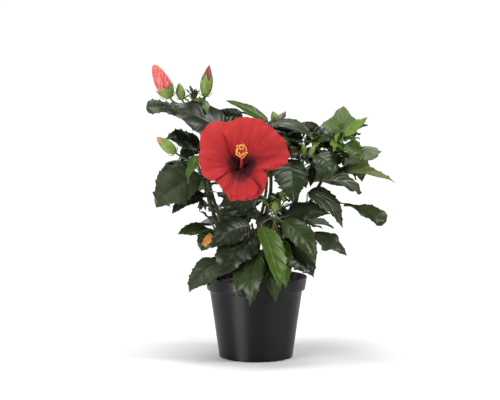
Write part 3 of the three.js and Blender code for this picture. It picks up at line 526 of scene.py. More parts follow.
def leaf_material(name, colour, roughness, pore):
    """Waxy leaf skin: colour that drifts across the blade, over fine cells."""
    look = Look(name, roughness, Specular_IOR_Level=0.3)
    drift = look.noise(16, 4)
    look.base(look.mix(drift, shade(srgb(*colour), 0.72), shade(srgb(*colour), 1.3)))
    look.rough(drift, roughness - 0.05, roughness + 0.1)
    look.bump(look.noise(pore, 2), 0.12, 0.5)
    return look.material


def leaf_looks():
    """Each tone's four materials, by the names that the blades' faces give."""
    looks = {}
    for tone, (upper, upper_vein, under, under_vein, roughness) in TONES.items():
        for part, colour, rough, pore in (
            (tone, upper, roughness, 1.1), (f"{tone}_vein", upper_vein, roughness + 0.08, 0.8),
            (f"{tone}_under", under, 0.6, 0.9), (f"{tone}_under_vein", under_vein, 0.6, 0.8),
        ):
            looks[part] = leaf_material(f"leaf_{part}", colour, rough, pore)
    return looks


def stem_material():
    """Green young stem with fine lengthwise ribs and pale specks."""
    look = Look("stem_green", 0.5)
    drift = look.noise(9, 3)
    specks = look.ramp(look.noise(0.9, 1), [(0.62, 0, 0, 0), (0.72, 255, 255, 255)])
    skin = look.mix(drift, srgb(58, 68, 34), srgb(96, 104, 58))
    look.base(look.mix(specks, skin, srgb(140, 140, 100)))
    look.bump(look.noise(0.8, 2, stretch=(1, 1, 0.25)), 0.2, 0.6)
    return look.material


def bark_material():
    """Thin bark: brown-grey at the foot, olive green towards the tips, with darker streaks along it."""
    look = Look("bark_shrub", 0.75)
    drift = look.noise(14, 3)
    climb = look.plus(look.times(look.split()["Z"], 7.5), look.times(drift, 0.5))
    skin = look.ramp(climb, [(0, 74, 62, 48), (0.35, 98, 86, 64), (0.62, 104, 98, 66), (0.95, 84, 90, 50)])
    streaks = look.noise(1.6, 4, stretch=(1, 1, 0.22))
    look.base(look.mix(streaks, shade(srgb(70, 60, 42), 0.55), skin))
    look.bump(streaks, 0.5, 0.8)
    look.bump(look.noise(0.5, 2), 0.15, 0.5)
    return look.material


# The dark eye's edge from the throat: its reach, how much lower it hangs than it rises, and its three lobes.
# Its crimson gives way to the petal's own red at the fade.
EYE = {"reach": 16.2, "down": 4.2, "lobes": 2.8, "fade": 60}


def petal_material():
    """Silky petal: nearly black at the throat, then crimson, then red with paler streaks along its veins."""
    look = Look("petal_red", 0.6, Sheen_Weight=0.05, Sheen_Roughness=0.4, Specular_IOR_Level=0.12)
    x, y, _ = look.split()
    radius = look.math("SQRT", look.plus(look.math("POWER", x, 2), look.math("POWER", y, 2)))
    angle = look.math("ARCTAN2", y, x)
    polar = look.nodes.new("ShaderNodeCombineXYZ")
    look.link(look.times(angle, 0.03), polar.inputs["X"])
    look.link(radius, polar.inputs["Y"])
    streaks = look.noise(0.7, 3, stretch=(1, 0.05, 1), source=polar.outputs["Vector"])
    blotch = look.noise(18, 2)
    drop = look.times(look.math("SINE", angle), EYE["down"] * MM)
    lobes = look.times(look.math("SINE", look.times(angle, 3)), EYE["lobes"] * MM)
    edge = look.plus(look.math("SUBTRACT", lobes, drop), EYE["reach"] * MM)
    zone = look.plus(look.math("DIVIDE", radius, edge), look.times(streaks, 0.3))
    eye = look.ramp(look.times(zone, 0.25), [
        (0.22, 17, 9, 11), (0.27, 30, 12, 16), (0.3, 84, 15, 24), (0.34, 134, 23, 31),
        (0.5, 160, 30, 36), (1, 174, 43, 43),
    ])
    rim = look.times(look.times(radius, 1 / (EYE["fade"] * MM)), streaks)
    look.base(look.mix(rim, eye, look.mix(blotch, srgb(172, 36, 39), srgb(190, 68, 66))))
    look.bump(streaks, 0.35, 0.6)
    return look.material


# Surfaces whose colour drifts between two: their name, dark and light, the size of their marks, their
# roughness, and their grain's size and depth.
PLAIN = {
    "petal_tube": ("petal_tube", (60, 14, 20), (90, 20, 28), 6, 0.5, 1.0, 0.2),
    "column": ("column_red", (160, 30, 46), (200, 64, 74), 5, 0.45, 0.8, 0.1),
    "anther": ("anther_gold", (226, 140, 28), (255, 206, 84), 1.6, 0.7, 0.35, 0.2),
    "stigma": ("stigma_gold", (240, 150, 50), (255, 200, 90), 1.2, 0.6, 0.3, 0.15),
    "calyx": ("calyx_green", (88, 112, 40), (146, 166, 84), 7, 0.5, 0.7, 0.15),
    "bud_dark": ("bud_dark", (104, 32, 44), (160, 78, 84), 4, 0.45, 1.0, 0.2),
}


def plain_material(name, dark, light, size, roughness, grain, depth):
    look = Look(name, roughness)
    look.base(look.mix(look.noise(size, 3), srgb(*dark), srgb(*light)))
    look.bump(look.noise(grain, 2), depth, 0.6)
    return look.material


def bud_material():
    """The furled petals of a bud: pink to coral, in streaks along it."""
    look = Look("bud_pink", 0.5, Sheen_Weight=0.2, Specular_IOR_Level=0.35)
    streaks = look.noise(2.2, 3, stretch=(1, 1, 0.18))
    look.base(look.ramp(streaks, [(0.3, 186, 44, 54), (0.5, 212, 92, 90), (0.72, 232, 150, 134)]))
    look.bump(streaks, 0.4, 0.6)
    return look.material


def pot_material():
    """Moulded black plastic: a faint flow pattern and the sheen of fine marks drawn round it."""
    look = Look("pot_plastic", 0.42, Specular_IOR_Level=0.3, Anisotropic=0.85, Anisotropic_Rotation=0.25)
    drift = look.noise(40, 3)
    scuffs = look.noise(1.5, 3, stretch=(1, 1, 0.12))
    look.base(look.mix(drift, srgb(6, 6, 7), srgb(10, 10, 11)))
    look.rough(scuffs, 0.38, 0.48)
    look.bump(look.noise(0.5, 2, stretch=(0.03, 0.03, 1)), 0.06, 1.0)
    return look.material


def soil_material():
    look = Look("soil_mix", 0.95)
    crumbs = look.noise(3, 4)
    look.base(look.ramp(crumbs, [(0.3, 20, 14, 12), (0.55, 48, 32, 25), (0.75, 82, 56, 44)]))
    look.bump(look.noise(1.2, 3), 0.8, 0.8)
    return look.material


def chip_material():
    """Bark chips, reddish brown with a grain."""
    look = Look("bark_chips", 0.9)
    grain = look.noise(2.5, 4, stretch=(1, 0.35, 1))
    look.base(look.ramp(grain, [(0.25, 40, 22, 18), (0.5, 92, 52, 42), (0.75, 140, 88, 74)]))
    look.bump(grain, 0.5, 0.8)
    return look.material


# ---- Making pieces ----

UP = np.array([0, 0, 1.0])


def mesh_object(name, points, faces):
    """A bare object of groups of points in millimetres, linked to the scene."""
    mesh = bpy.data.meshes.new(name)
    mesh.from_pydata(np.concatenate(points) * MM, [], faces)
    mesh.update()
    thing = bpy.data.objects.new(name, mesh)
    bpy.context.collection.objects.link(thing)
    return thing


class Shapes:
    """Points and faces gathered for one piece, and each face's look."""

    def __init__(self):
        self.points, self.faces, self.marks, self.count = [], [], [], 0

    def add(self, points, faces, looks):
        """Faces of any number of corners, and one look for all of them or a list with one for each."""
        points = np.asarray(points, float).reshape(-1, 3)
        self.points.append(points)
        if isinstance(faces, np.ndarray):
            self.faces.extend((faces + self.count).tolist())
        else:
            self.faces.extend([[self.count + corner for corner in face] for face in faces])
        self.marks.extend([looks] * len(faces) if isinstance(looks, str) else looks)
        self.count += len(points)

    def piece(self, name, slot, nodes, looks, sharp=50, matrix=None):
        """One object of what was gathered, and the solids that it stands for. Its slot is not used.

        Looks are materials by name, edges are sharp over an angle, and matrix is its place in metres.
        """
        thing = mesh_object(name, self.points, self.faces)
        mesh, used = thing.data, sorted(set(self.marks))
        for look in used:
            mesh.materials.append(looks[look])
        index = {look: i for i, look in enumerate(used)}
        mesh.polygons.foreach_set("material_index", [index[mark] for mark in self.marks])
        mesh.polygons.foreach_set("use_smooth", [True] * len(mesh.polygons))
        mesh.validate()
        mesh.update()
        mesh.set_sharp_from_angle(angle=math.radians(sharp))
        if matrix is not None:
            thing.matrix_world = matrix
        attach(thing, BODY)
        if nodes:
            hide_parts(*nodes)
        return thing


def grid_faces(rows, columns, start=0, closed=False, flip=False):
    """The quads of a grid of points, rows by columns, closed round its columns or not."""
    across = columns if closed else columns - 1
    r, c = np.meshgrid(np.arange(rows - 1), np.arange(across), indexing="ij")
    a = start + r * columns + c
    b = start + r * columns + (c + 1) % columns
    quads = np.stack([a, a + columns, b + columns, b], -1).reshape(-1, 4)
    return quads[:, ::-1] if flip else quads


def sheet_faces(rows, columns):
    """The faces of a closed sheet whose two sides are grids of points, one after the other."""
    count = rows * columns
    border = np.concatenate([
        np.arange(columns), columns * np.arange(2, rows) - 1, count - 1 - np.arange(columns),
        columns * np.arange(rows - 2, 0, -1),
    ])
    after = np.roll(border, -1)
    rim = np.stack([border, border + count, after + count, after], -1)[:, ::-1]
    return np.concatenate([grid_faces(rows, columns), grid_faces(rows, columns, count, flip=True), rim])


def cup_faces(rows, sides):
    """The faces of a cup whose outer and then inner walls are rings of points, from its foot to its rim."""
    count, last = rows * sides, (rows - 1) * sides
    here = np.arange(sides)
    after = np.roll(here, -1)
    rim = np.stack([last + here, count + last + here, count + last + after, last + after], -1)
    outer = grid_faces(rows, sides, closed=True, flip=True)
    return np.concatenate([outer, grid_faces(rows, sides, count, closed=True), rim])


def spins(sides):
    """Even angles round a ring, in radians."""
    return np.linspace(0, 2 * np.pi, sides, endpoint=False)


def ring(radius, height, sides):
    """Points round +Z. The radius and the height are numbers, or arrays with a value for each point."""
    angles = spins(sides)
    return np.stack([radius * np.cos(angles), radius * np.sin(angles), height + 0.0 * angles], -1)


def closed_rings(rings, ends, flip=True):
    """The points and faces of a closed body: rings of points, with a point to close each end."""
    count, sides = len(rings), len(rings[0])
    faces = grid_faces(count, sides, closed=True, flip=flip).tolist()
    first, last = count * sides, (count - 1) * sides
    for s in range(sides):
        a, b = ((s + 1) % sides, s) if flip else (s, (s + 1) % sides)
        faces += [[first, a, b], [first + 1, last + b, last + a]]
    return np.concatenate([*rings, ends]), faces


def heading(turn, rise):
    """The unit vector of a heading."""
    turn, rise = math.radians(turn), math.radians(rise)
    return np.array([math.cos(rise) * math.cos(turn), math.cos(rise) * math.sin(turn), math.sin(rise)])


def unit(vector):
    return vector / np.linalg.norm(vector)


def cubic(a, b, c, d, steps):
    t = np.linspace(0, 1, steps + 1)[:, None]
    return a * (1 - t) ** 3 + 3 * b * t * (1 - t) ** 2 + 3 * c * t * t * (1 - t) + d * t**3


def quadratic(a, b, c, steps):
    t = np.linspace(0, 1, steps + 1)[:, None]
    return a * (1 - t) ** 2 + 2 * b * t * (1 - t) + c * t * t


def along(path, share):
    """The point at a share of a path's length."""
    lengths = np.concatenate([[0], np.cumsum(np.linalg.norm(np.diff(path, axis=0), axis=1))])
    return np.array([np.interp(share * lengths[-1], lengths, path[:, axis]) for axis in range(3)])


def add_tube(shapes, path, radii, look, sides=8, round_end=False):
    """A closed tube along a path. Radii are a pair for its ends, or one for each point of the path."""
    path = np.asarray(path, float)
    radii = np.linspace(*radii, len(path)) if len(radii) == 2 else np.asarray(radii, float)
    tangent = np.gradient(path, axis=0)
    tangent /= np.linalg.norm(tangent, axis=1)[:, None]
    normal = unit(np.cross(tangent[0], [0.3, 1, 0.2]))
    angles = spins(sides)
    rings = []
    for point, ahead, radius in zip(path, tangent, radii):
        normal = unit(normal - ahead * np.dot(normal, ahead))
        rings.append(point + radius * (
            np.outer(np.cos(angles), normal) + np.outer(np.sin(angles), np.cross(ahead, normal))
        ))
    nose = tangent[-1] * radii[-1]
    if round_end:
        rings.append(path[-1] + nose * 0.5 + 0.6 * (rings[-1] - path[-1]))
    ends = [path[0], path[-1] + nose * (0.7 if round_end else 0.05)]
    shapes.add(*closed_rings(rings, ends), look)


def seeded(seed):
    """The source's numbers from 0 to 1: they follow from the seed alone."""
    state = seed
    while True:
        state = (state * 1664525 + 1013904223) % 2**32
        yield state / 2**32


# ---- Stems ----

trunk_foot = np.array([0, 0, SOIL["top"] + CLEAR])


def trunk_middle(height):
    share = height / TRUNK["height"]
    return trunk_foot + np.array([TRUNK["lean"][0] * share, TRUNK["lean"][1] * share, height])


def bough_path(name, steps=30):
    """A bough's middle line from inside the trunk to its tip."""
    foot, leave, tip, arrive, _ = BOUGHS[name]
    first = heading(*leave)
    start = trunk_middle(foot) + first * (TRUNK["top"] + TRUNK["knuckle"] + CLEAR)
    tip = np.array(tip, float)
    reach = 0.38 * np.linalg.norm(tip - start)
    curve = cubic(start, start + first * reach, tip - heading(*arrive) * reach, tip, steps)
    inside = [trunk_middle(foot) + (start - trunk_middle(foot)) * share for share in (0, 0.35, 0.7)]
    return np.concatenate([inside, curve])


def stem_path(name, steps=16):
    """The stem of a mass, on from its bough's tip."""
    length, turn, rise = MASSES[name]["stem"]
    first = heading(*BOUGHS[name][3])
    start = np.array(BOUGHS[name][2]) + first * CLEAR
    bend = start + first * length * 0.4
    return quadratic(start, bend, bend + heading(turn, rise) * length * 0.6, steps)


# ---- Leaves ----

# The powers shape where a vein's row meets the margin, where it leaves the midrib, and its curve between.
BLADE = {
    "thick": 0.5, "rib": 0.55, "quilt": 0.045, "wave": 0.1, "cup": 0.12, "tooth": 0.09,
    "saw": (0.55, 0.45), "toothed": (0.12, 0.42, 0.93),
    "meet_power": 1.2, "leave_power": 1.7, "palm_power": 4, "curve_power": 1.25,
}
# The limits that a blade's own teeth, waves and droop are drawn from: factors, the waves' number and shift.
DRAWN = {"cut": (0.5, 1.15), "turns": (1.6, 2.6), "wave": (0.6, 1.3), "droop": (0.4, 1.6), "shift": (0, 6)}
FINE = {"veins": 7, "across": (0, 0.12, 0.3, 0.5, 0.7, 0.87, 1), "between": (0.25, 0.5, 0.75)}
SMALL = {"veins": 4, "across": (0, 0.3, 0.65, 1), "between": (0.35, 0.7), "under": 26}
VEIN = {"half": 0.03, "taper": 0.7, "ridge": 0.3, "rib_ridge": 0.8}


def half_width(station, shape):
    """Half width of a blade at a station from 0 to 1, as a share of its widest, with its side lobes."""
    power, full = 1.6, shape["full"]

    def oval(x):
        return np.power(x, full * power) * np.power(1 - x, (1 - full) * power)

    side = np.clip(1 - np.abs(station - shape["lobe_at"]) / shape["lobe_span"], 0, 1)
    return oval(station) / oval(full) + shape["lobe"] * side * side * (3 - 2 * side)


def midrib(shape, foot, station):
    """The midrib at stations: its place and the blade's side and face directions there."""
    turn, rise, length, sag = shape["blade"]
    now = np.radians(rise - sag * station)
    rise, sag, turn = np.radians([rise, sag, turn])
    out = length * (math.sin(rise) - np.sin(now)) / sag
    up = length * (np.cos(now) - math.cos(rise)) / sag
    level = np.array([math.cos(turn), math.sin(turn), 0])
    lift = np.array([0, 0, 1])
    place = foot + out[..., None] * level + up[..., None] * lift
    ahead = np.cos(now)[..., None] * level + np.sin(now)[..., None] * lift
    flat_side = np.array([-math.sin(turn), math.cos(turn), 0])
    flat_face = np.cross(ahead, flat_side)
    roll = np.radians(shape["roll"] + shape["twist"] * station)[..., None]
    side = flat_side * np.cos(roll) + flat_face * np.sin(roll)
    return place, side, np.cross(ahead, side)


def smooth_step(x, low, high):
    t = np.clip((x - low) / (high - low), 0, 1)
    return t * t * (3 - 2 * t)


def blade_points(shape, foot, detail, dice):
    """The blade's middle surface: rows follow its side veins from the midrib out to the toothed margin."""
    length = shape["blade"][2]
    half = length * shape["wide"] / 2
    veins = detail["veins"]
    vein = VEIN["half"] * shape["stripe"]
    spans = [0.0]
    for span in range(veins + 1):
        spans += [span + share for share in detail["between"]] + [span + 1 - vein, span + 1 + vein]
    spans = np.array(spans[:-2] + [veins + 1])
    across = np.array(detail["across"])
    v = np.concatenate([across[::-1], across])[None, :] * np.ones((len(spans), 1))
    sign = np.concatenate([-np.ones(len(across)), np.ones(len(across))])[None, :]
    # A row leaves the midrib at its start and meets the margin further up, as a side vein does.
    offset = spans[:, None] - np.round(spans[:, None])
    on_vein = np.abs(np.abs(offset) - vein) < 1e-6
    q = spans[:, None] - np.where(on_vein, offset * VEIN["taper"] * v, 0)
    margin = (q / (veins + 1)) ** BLADE["meet_power"]
    start = margin ** (BLADE["leave_power"] + BLADE["palm_power"] * shape["palm"])
    station = start + (margin - start) * v ** BLADE["curve_power"]
    # Teeth end the veins along the margin's middle, and fade towards the blade's foot and tip.
    phase = q % 1
    broad, keen = BLADE["saw"]
    tooth = broad * np.cos(2 * np.pi * phase) + keen * np.cos(4 * np.pi * phase)
    first, full, last = BLADE["toothed"]
    fade = smooth_step(margin, first, full) * (1 - smooth_step(margin, last, 1))
    jitter = 1 + 0.35 * np.sin(5.3 * np.round(q) + sign * 2 + dice.uniform(*DRAWN["shift"]))
    rib = BLADE["rib"] * (1 - 0.75 * station)
    cut = BLADE["tooth"] * shape["tooth"] * dice.uniform(*DRAWN["cut"])
    outline = half_width(margin, shape) + cut * tooth * fade * jitter
    reach = half * np.where(sign < 0, *shape["halves"]) * outline
    lateral = sign * (rib + (np.maximum(reach, rib + 0.12) - rib) * v)
    # The blade puffs up between its veins, and it waves and droops towards its margin.
    quilt = BLADE["quilt"] * shape["quilt"] * half * np.sin(np.pi * phase) * (4 * v * (1 - v) + 0.02) ** 0.6
    turns = dice.uniform(*DRAWN["turns"])
    swing = [dice.uniform(*DRAWN["shift"]) for _ in range(2)]
    swell = np.sin(2 * np.pi * turns * margin + np.where(sign < 0, *swing))
    wave = BLADE["wave"] * shape["wave"] * dice.uniform(*DRAWN["wave"]) * half * v**2 * swell
    droop = BLADE["cup"] * dice.uniform(*DRAWN["droop"]) * half * v**2
    fold = np.radians(np.where(sign < 0, *shape["folds"]))
    height = np.abs(lateral) * np.sin(fold) + (quilt + wave - droop) * np.cos(fold)
    place, side, face = midrib(shape, foot, station)
    surface = place + side * (lateral * np.cos(fold))[..., None] + face * height[..., None]
    ribs = np.abs(sign) * (v == 0)
    ridge = np.where(on_vein, VEIN["ridge"] * (1 - v), 0)
    ridge = np.maximum(ridge, ribs * VEIN["rib_ridge"] * (1 - 0.8 * station))
    return surface, face, ridge, on_vein, station


def add_blade(shapes, shape, foot, detail, dice):
    """A leaf's blade, closed, with its own looks on its two sides and on its veins."""
    surface, face, ridge, on_vein, station = blade_points(shape, foot, detail, dice)
    rows, columns = surface.shape[:2]
    half = BLADE["thick"] / 2 * (0.75 + 0.25 * ridge[..., None])
    upper = surface + face * half
    lower = surface - face * (half + ridge[..., None])
    strip = np.zeros((rows - 1, columns - 1), bool)
    strip[:, columns // 2 - 1] = True
    strip[on_vein[:-1, 0] & on_vein[1:, 0], :] = True
    tones = np.full(strip.shape, shape["tone"], dtype=object)
    if shape["patch"]:
        tone, (low, high), (left, right) = shape["patch"]
        at, side = station[:-1, :-1], np.linspace(-1, 1, columns - 1)
        tones[(at > low) & (at < high) & (side > left) & (side < right)] = tone
    marks = list(zip(tones.reshape(-1), strip.reshape(-1)))
    faces = sheet_faces(rows, columns)
    shapes.add(
        [upper, lower], faces,
        [f"{tone}_vein" if vein else tone for tone, vein in marks]
        + [f"{tone}_under_vein" if vein else f"{tone}_under" for tone, vein in marks]
        + [f"{shape['tone']}_under"] * (len(faces) - 2 * len(marks)),
    )


def leaf_ends(shape, path):
    """A leaf's root on the stem and its blade's foot."""
    turn, _, length, _ = shape["blade"]
    turn, rise, reach = shape["stalk"] or (turn, STALK["rise"], length * STALK["share"])
    root = along(path, shape["at"])
    return root, root + heading(turn, rise) * reach


def add_stalk(shapes, shape, root, foot):
    """A leaf's stalk, bowed up, with a small swelling at both ends."""
    _, side, face = midrib(shape, foot, np.zeros(1))
    ahead = np.cross(side[0], face[0])
    reach = np.linalg.norm(foot - root)
    lift = UP * reach * STALK["arch"] * 2
    path = cubic(root, root + (foot - root) * 0.35 + lift, foot - ahead * reach * 0.25, foot + ahead * 1.5, 9)
    size = 1 if shape["blade"][2] > STALK["slim_under"] else STALK["slim"]
    add_tube(shapes, path, STALK["r"] * 0.9 * np.array(STALK["swell"]) * size, "stem")


def ruled_leaves(mass):
    """The leaves that the seeded rule adds, and the young ones at the stem's tip."""
    numbers = seeded(mass["seed"])
    fill, sector, young = mass.get("fill", 0), mass.get("sector", (0, 360)), mass.get("young", 0)
    tones = random.Random(mass["seed"])

    def pick(limits):
        return limits[0] + (limits[1] - limits[0]) * next(numbers)

    leaves = []
    for i in range(fill):
        share = (i + 0.5) / fill
        turn = sector[0] + (i * GOLDEN / 360) % 1 * (sector[1] - sector[0]) + pick((-12, 12))
        length = pick(FILL["length"]) * (1 - 0.22 * share)
        at = FILL["at"][0] + (FILL["at"][1] - FILL["at"][0]) * share
        stalk = (turn, pick(FILL["lift"]), length * STALK["share"])
        blade = (turn, pick(FILL["rise"]) + 20 * share, length, pick(FILL["sag"]))
        tone = tones.choice(FILL_TONES)
        leaves.append(leaf(at, stalk, blade, tone, roll=pick(FILL["roll"]), wide=pick(FILL["wide"])))
    for i in range(young):
        turn = i * GOLDEN + pick((-20, 20))
        stalk = (turn, pick(YOUNG["rise"]), YOUNG["stalk"])
        blade = (turn, pick(YOUNG["rise"]), pick(YOUNG["length"]), pick(YOUNG["sag"]))
        leaves.append(leaf(0.99 - 0.03 * i, stalk, blade, "young", wide=pick(YOUNG["wide"])))
    return leaves


def tree_of(node):
    """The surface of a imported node, for finding how near a point is to it."""
    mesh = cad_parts[node].data
    return BVHTree.FromPolygons([v.co for v in mesh.vertices], [p.vertices for p in mesh.polygons])


def stands(shape, foot, solid):
    """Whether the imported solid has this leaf, because the source leaves off those that would touch."""
    place, _, _ = midrib(shape, foot, np.array([0.3, 0.62, 0.8]))
    return all(solid.find_nearest(Vector(point * MM))[3] < 2.5 * MM for point in place)


def add_leaf(blades, twigs, path, shape, detail, dice):
    """A leaf's blade among its mass's leaves and its stalk among the twigs."""
    root, foot = leaf_ends(shape, path)
    add_blade(blades, shape, foot, detail, dice)
    add_stalk(twigs, shape, root, foot)


def add_shoot(blades, twigs, path, row, dice):
    """A young side shoot: a thin stem with small leaves that spread from its tip."""
    at, (turn, rise), length, count, size, tone = row
    root = along(path, at)
    ahead = heading(turn, rise) * length
    line = quadratic(root, root + ahead * 0.5, root + ahead * 0.9 + UP * length * 0.1, 6)
    add_tube(twigs, line, SHOOT["r"], "stem", 7, round_end=True)
    for i in range(count):
        around = turn + i * GOLDEN + dice.uniform(*SHOOT["turn"])
        lift = rise + dice.uniform(*SHOOT["lift"]) - SHOOT["drop"] * i
        long = size * dice.uniform(*SHOOT["grow"])
        stalk = (around, lift, long * STALK["share"])
        blade = (around, lift, long, dice.uniform(*SHOOT["sag"]))
        shape = leaf(
            1 - SHOOT["step"] * i, stalk, blade, tone,
            wide=dice.uniform(*SHOOT["wide"]), roll=dice.uniform(*SHOOT["roll"]), wave=SHOOT["wave"],
        )
        add_leaf(blades, twigs, line, shape, SMALL, dice)


def add_mass(name, looks, twigs, buds):
    """A mass: its leaves as one piece, its stem and stalks among the twigs, and its buds."""
    mass = MASSES[name]
    _, _, tip, arrive, (_, radius) = BOUGHS[name]
    path = stem_path(name)
    solid = tree_of(f"foliage_{name}")
    start = np.array([tip]) - heading(*arrive) * 2
    add_tube(twigs, np.concatenate([start, path]), (radius * 1.02, radius * 0.6), "stem", 10, round_end=True)
    blades = Shapes()
    dice = random.Random(name)
    ruled = [shape for shape in ruled_leaves(mass) if stands(shape, leaf_ends(shape, path)[1], solid)]
    for shape in mass.get("leaves", []) + ruled:
        add_leaf(blades, twigs, path, shape, SMALL if shape["blade"][2] < SMALL["under"] else FINE, dice)
    for row in SHOOTS.get(name, []):
        add_shoot(blades, twigs, path, row, dice)
    for shape in mass.get("buds", []):
        add_bud(shape, path, twigs, buds)
    blades.piece(f"leaves_{name}", "leaf", [f"foliage_{name}"], looks)


# ---- Buds ----

BUD = {
    "sides": 40, "rows": 22, "cup_rows": 12, "folds": 5, "bracts": 7, "from": 0.04, "to": 0.995,
    "girth": 0.93, "flare": 0.12,
    "closed": {"twist": 0, "furl": 0.02}, "coloured": {"twist": 1.1, "furl": 0.13},
}
BUD_LOOKS = {"opening": "bud_pink", "tipped": "bud_dark", "tinged": "bud_pink", "green": "calyx"}


def frame_of(axis):
    """Three directions, the last of them along an axis."""
    axis = unit(np.asarray(axis, float))
    side = unit(np.cross(axis, [0.1, 0.2, 1]) if abs(axis[2]) < 0.98 else np.cross(axis, [0, 1, 0]))
    return side, np.cross(axis, side), axis


def bud_profile(share):
    """A bud's radius from its foot to its tip, as a share of its widest."""
    return np.power(np.sin(np.pi * np.power(np.clip(share, 0, 1), 0.78)), 0.75)


def add_bud(shape, path, twigs, buds):
    """A bud on its stalk: furled petals, the five-toothed calyx round them and thin bracts at its foot."""
    root = along(path, shape["at"])
    turn, rise, length = shape["stalk"]
    foot = root + heading(turn, rise) * length
    turn, rise, long = shape["axis"]
    side, up, axis = frame_of(heading(turn, rise))
    wide = shape["wide"] / 2
    bend = cubic(root, root + (foot - root) * 0.5, foot - axis * length * 0.3, foot + axis * 1.5, 9)
    add_tube(twigs, bend, (1.1, 1.3), "stem")
    closed = shape["look"] == "green"
    wrap = BUD["closed" if closed else "coloured"]
    sides, rows, cup_rows = BUD["sides"], BUD["rows"], BUD["cup_rows"]
    angles = spins(sides)[None, :]
    spokes = side * np.cos(angles)[..., None] + up * np.sin(angles)[..., None]
    lap = BUD["folds"] * angles / (2 * np.pi)

    def place(share, radius):
        """Points at shares of the bud's length and radii, round its axis."""
        return foot + axis * (long * share)[..., None] + spokes * radius[..., None]

    # The furled petals overlap in a twist, and an opening bud's stand off at its tip.
    share = np.linspace(BUD["from"], BUD["to"], rows)[:, None] + 0 * angles
    furl = (lap - wrap["twist"] * share) % 1
    folds = 1 - wrap["furl"] * furl * (1 - 0.4 * share)
    body = wide * bud_profile(share) * folds * BUD["girth"]
    if shape["look"] == "opening":
        body += wide * BUD["flare"] * smooth_step(share, 0.55, 0.97) * (1 - 0.5 * furl) * (share < 0.99)
    petals = grid_faces(rows, sides, closed=True, flip=True)
    buds.add(place(share, body), petals, BUD_LOOKS[shape["look"]])
    # The calyx is a cup whose edge rises to five points.
    tooth = np.abs(lap % 1 * 2 - 1)
    top = (1 if closed else shape["calyx"] * (0.7 + 0.35 * tooth**1.2)) + 0 * angles
    climb = np.linspace(0.0, 1, cup_rows)[:, None] * top
    crease = 1 + 0.05 * np.cos(5 * angles) * smooth_step(climb, 0.05, 0.3)
    outer = wide * bud_profile(np.maximum(climb * 0.985 + 0.012, 0.012)) * crease + 0.35
    outer = np.where(climb > 0.985, 0.35, outer)
    inner = np.maximum(outer - 0.5, 0.05)
    buds.add([place(climb, outer), place(climb, inner)], cup_faces(cup_rows, sides), "calyx")
    for i in range(BUD["bracts"]):
        spin = 2 * np.pi * i / BUD["bracts"]
        out = side * math.cos(spin) + up * math.sin(spin)
        climb = axis * long * 0.3
        base = foot + axis * 0.6 + out * 1.1
        tip = base + climb * 0.75 + out * (wide * 0.8 + 1.2)
        curl = cubic(base, base + out * wide * 0.9, tip + out * 1.2 - climb * 0.3, tip, 6)
        add_tube(buds, curl, (0.5, 0.15), "calyx", 5)


# ---- The bloom ----


def bloom_directions():
    axis = heading(270, BLOOM["tilt"])
    right = np.array([1.0, 0, 0])
    return right, np.cross(axis, right), axis


def bloom_matrix():
    """The bloom's own frame in metres: its throat, with +Z along its axis."""
    right, up, axis = bloom_directions()
    matrix = Matrix.Identity(4)
    for column, direction in enumerate((right, up, axis)):
        matrix.col[column][:3] = direction
    matrix.translation = Vector(BLOOM["throat"]) * MM
    return matrix


def petal_surface(index, dice):
    """A petal's middle surface in the bloom's frame, foot to rim by side to side. The feet stand evenly."""
    angle, reach, rim_half, (dip, dip_at, dip_span) = BLOOM["petals"][index]
    foot_angle = BLOOM["foot_turn"] - 72 * index
    foot_angle += 360 * round((angle - foot_angle) / 360)
    rows, columns = BLOOM["grid"]
    s = np.linspace(0, 1, rows)[:, None]
    t = np.linspace(-1, 1, columns)[None, :]
    swing = [dice.uniform(0, 6.28) for _ in range(7)]

    def waves(count, size, shift):
        return size * np.sin(count * t + swing[shift])

    frill = sum(waves(*row) for row in WAVES["frill"])
    shallow = dip * np.clip(1 - ((t - dip_at) / dip_span) ** 2, 0, 1)
    rim = reach * (1 - 0.2 * t**4 - shallow) * (0.975 + frill * s)
    radius = BLOOM["core"] * 0.7 * (1 - s**1.1) + rim * s**1.1
    opening = smooth_step(s, 0.0, 0.75)
    half = BLOOM["foot_half"] + (rim_half - BLOOM["foot_half"]) * opening
    forward = BLOOM["depth"] * np.sin(s * np.pi / 2) ** 0.85
    forward = forward + BLOOM["overlap"] * t * (0.25 * np.sin(np.pi * s) + s**2)
    forward = forward + s**2.2 * sum(waves(*row) for row in WAVES["swell"])
    forward = forward + s**6 * (waves(*WAVES["rim"]) - WAVES["roll_back"])
    pleat = WAVES["pleat_high"] * np.sin(WAVES["pleats"] * t + waves(*WAVES["pleat"]))
    pleat = pleat * np.sin(np.pi * np.clip(s * 1.05, 0, 1)) ** 0.7
    spin = np.radians(foot_angle + (angle - foot_angle) * opening + t * half)
    return np.stack([radius * np.cos(spin), radius * np.sin(spin), forward + pleat], -1)


def add_sheet(shapes, surface, half, look):
    """A closed sheet of even thickness about its middle surface."""
    normal = np.cross(np.gradient(surface, axis=0), np.gradient(surface, axis=1))
    normal *= half / np.linalg.norm(normal, axis=2)[..., None]
    shapes.add([surface + normal, surface - normal], sheet_faces(*surface.shape[:2]), look)


def add_ball(shapes, centre, radii, look, axis, sides):
    """A small rounded body of three radii, the last along its axis."""
    side, up, ahead = (direction * radius for direction, radius in zip(frame_of(axis), radii))
    spokes = np.array([side * math.cos(spin) + up * math.sin(spin) for spin in spins(sides)])
    tilts = np.pi * np.array([0.25, 0.5, 0.75])
    rings = [centre + spokes * math.sin(tilt) + ahead * math.cos(tilt) for tilt in tilts]
    shapes.add(*closed_rings(rings, [centre + ahead, centre - ahead], flip=False), look)


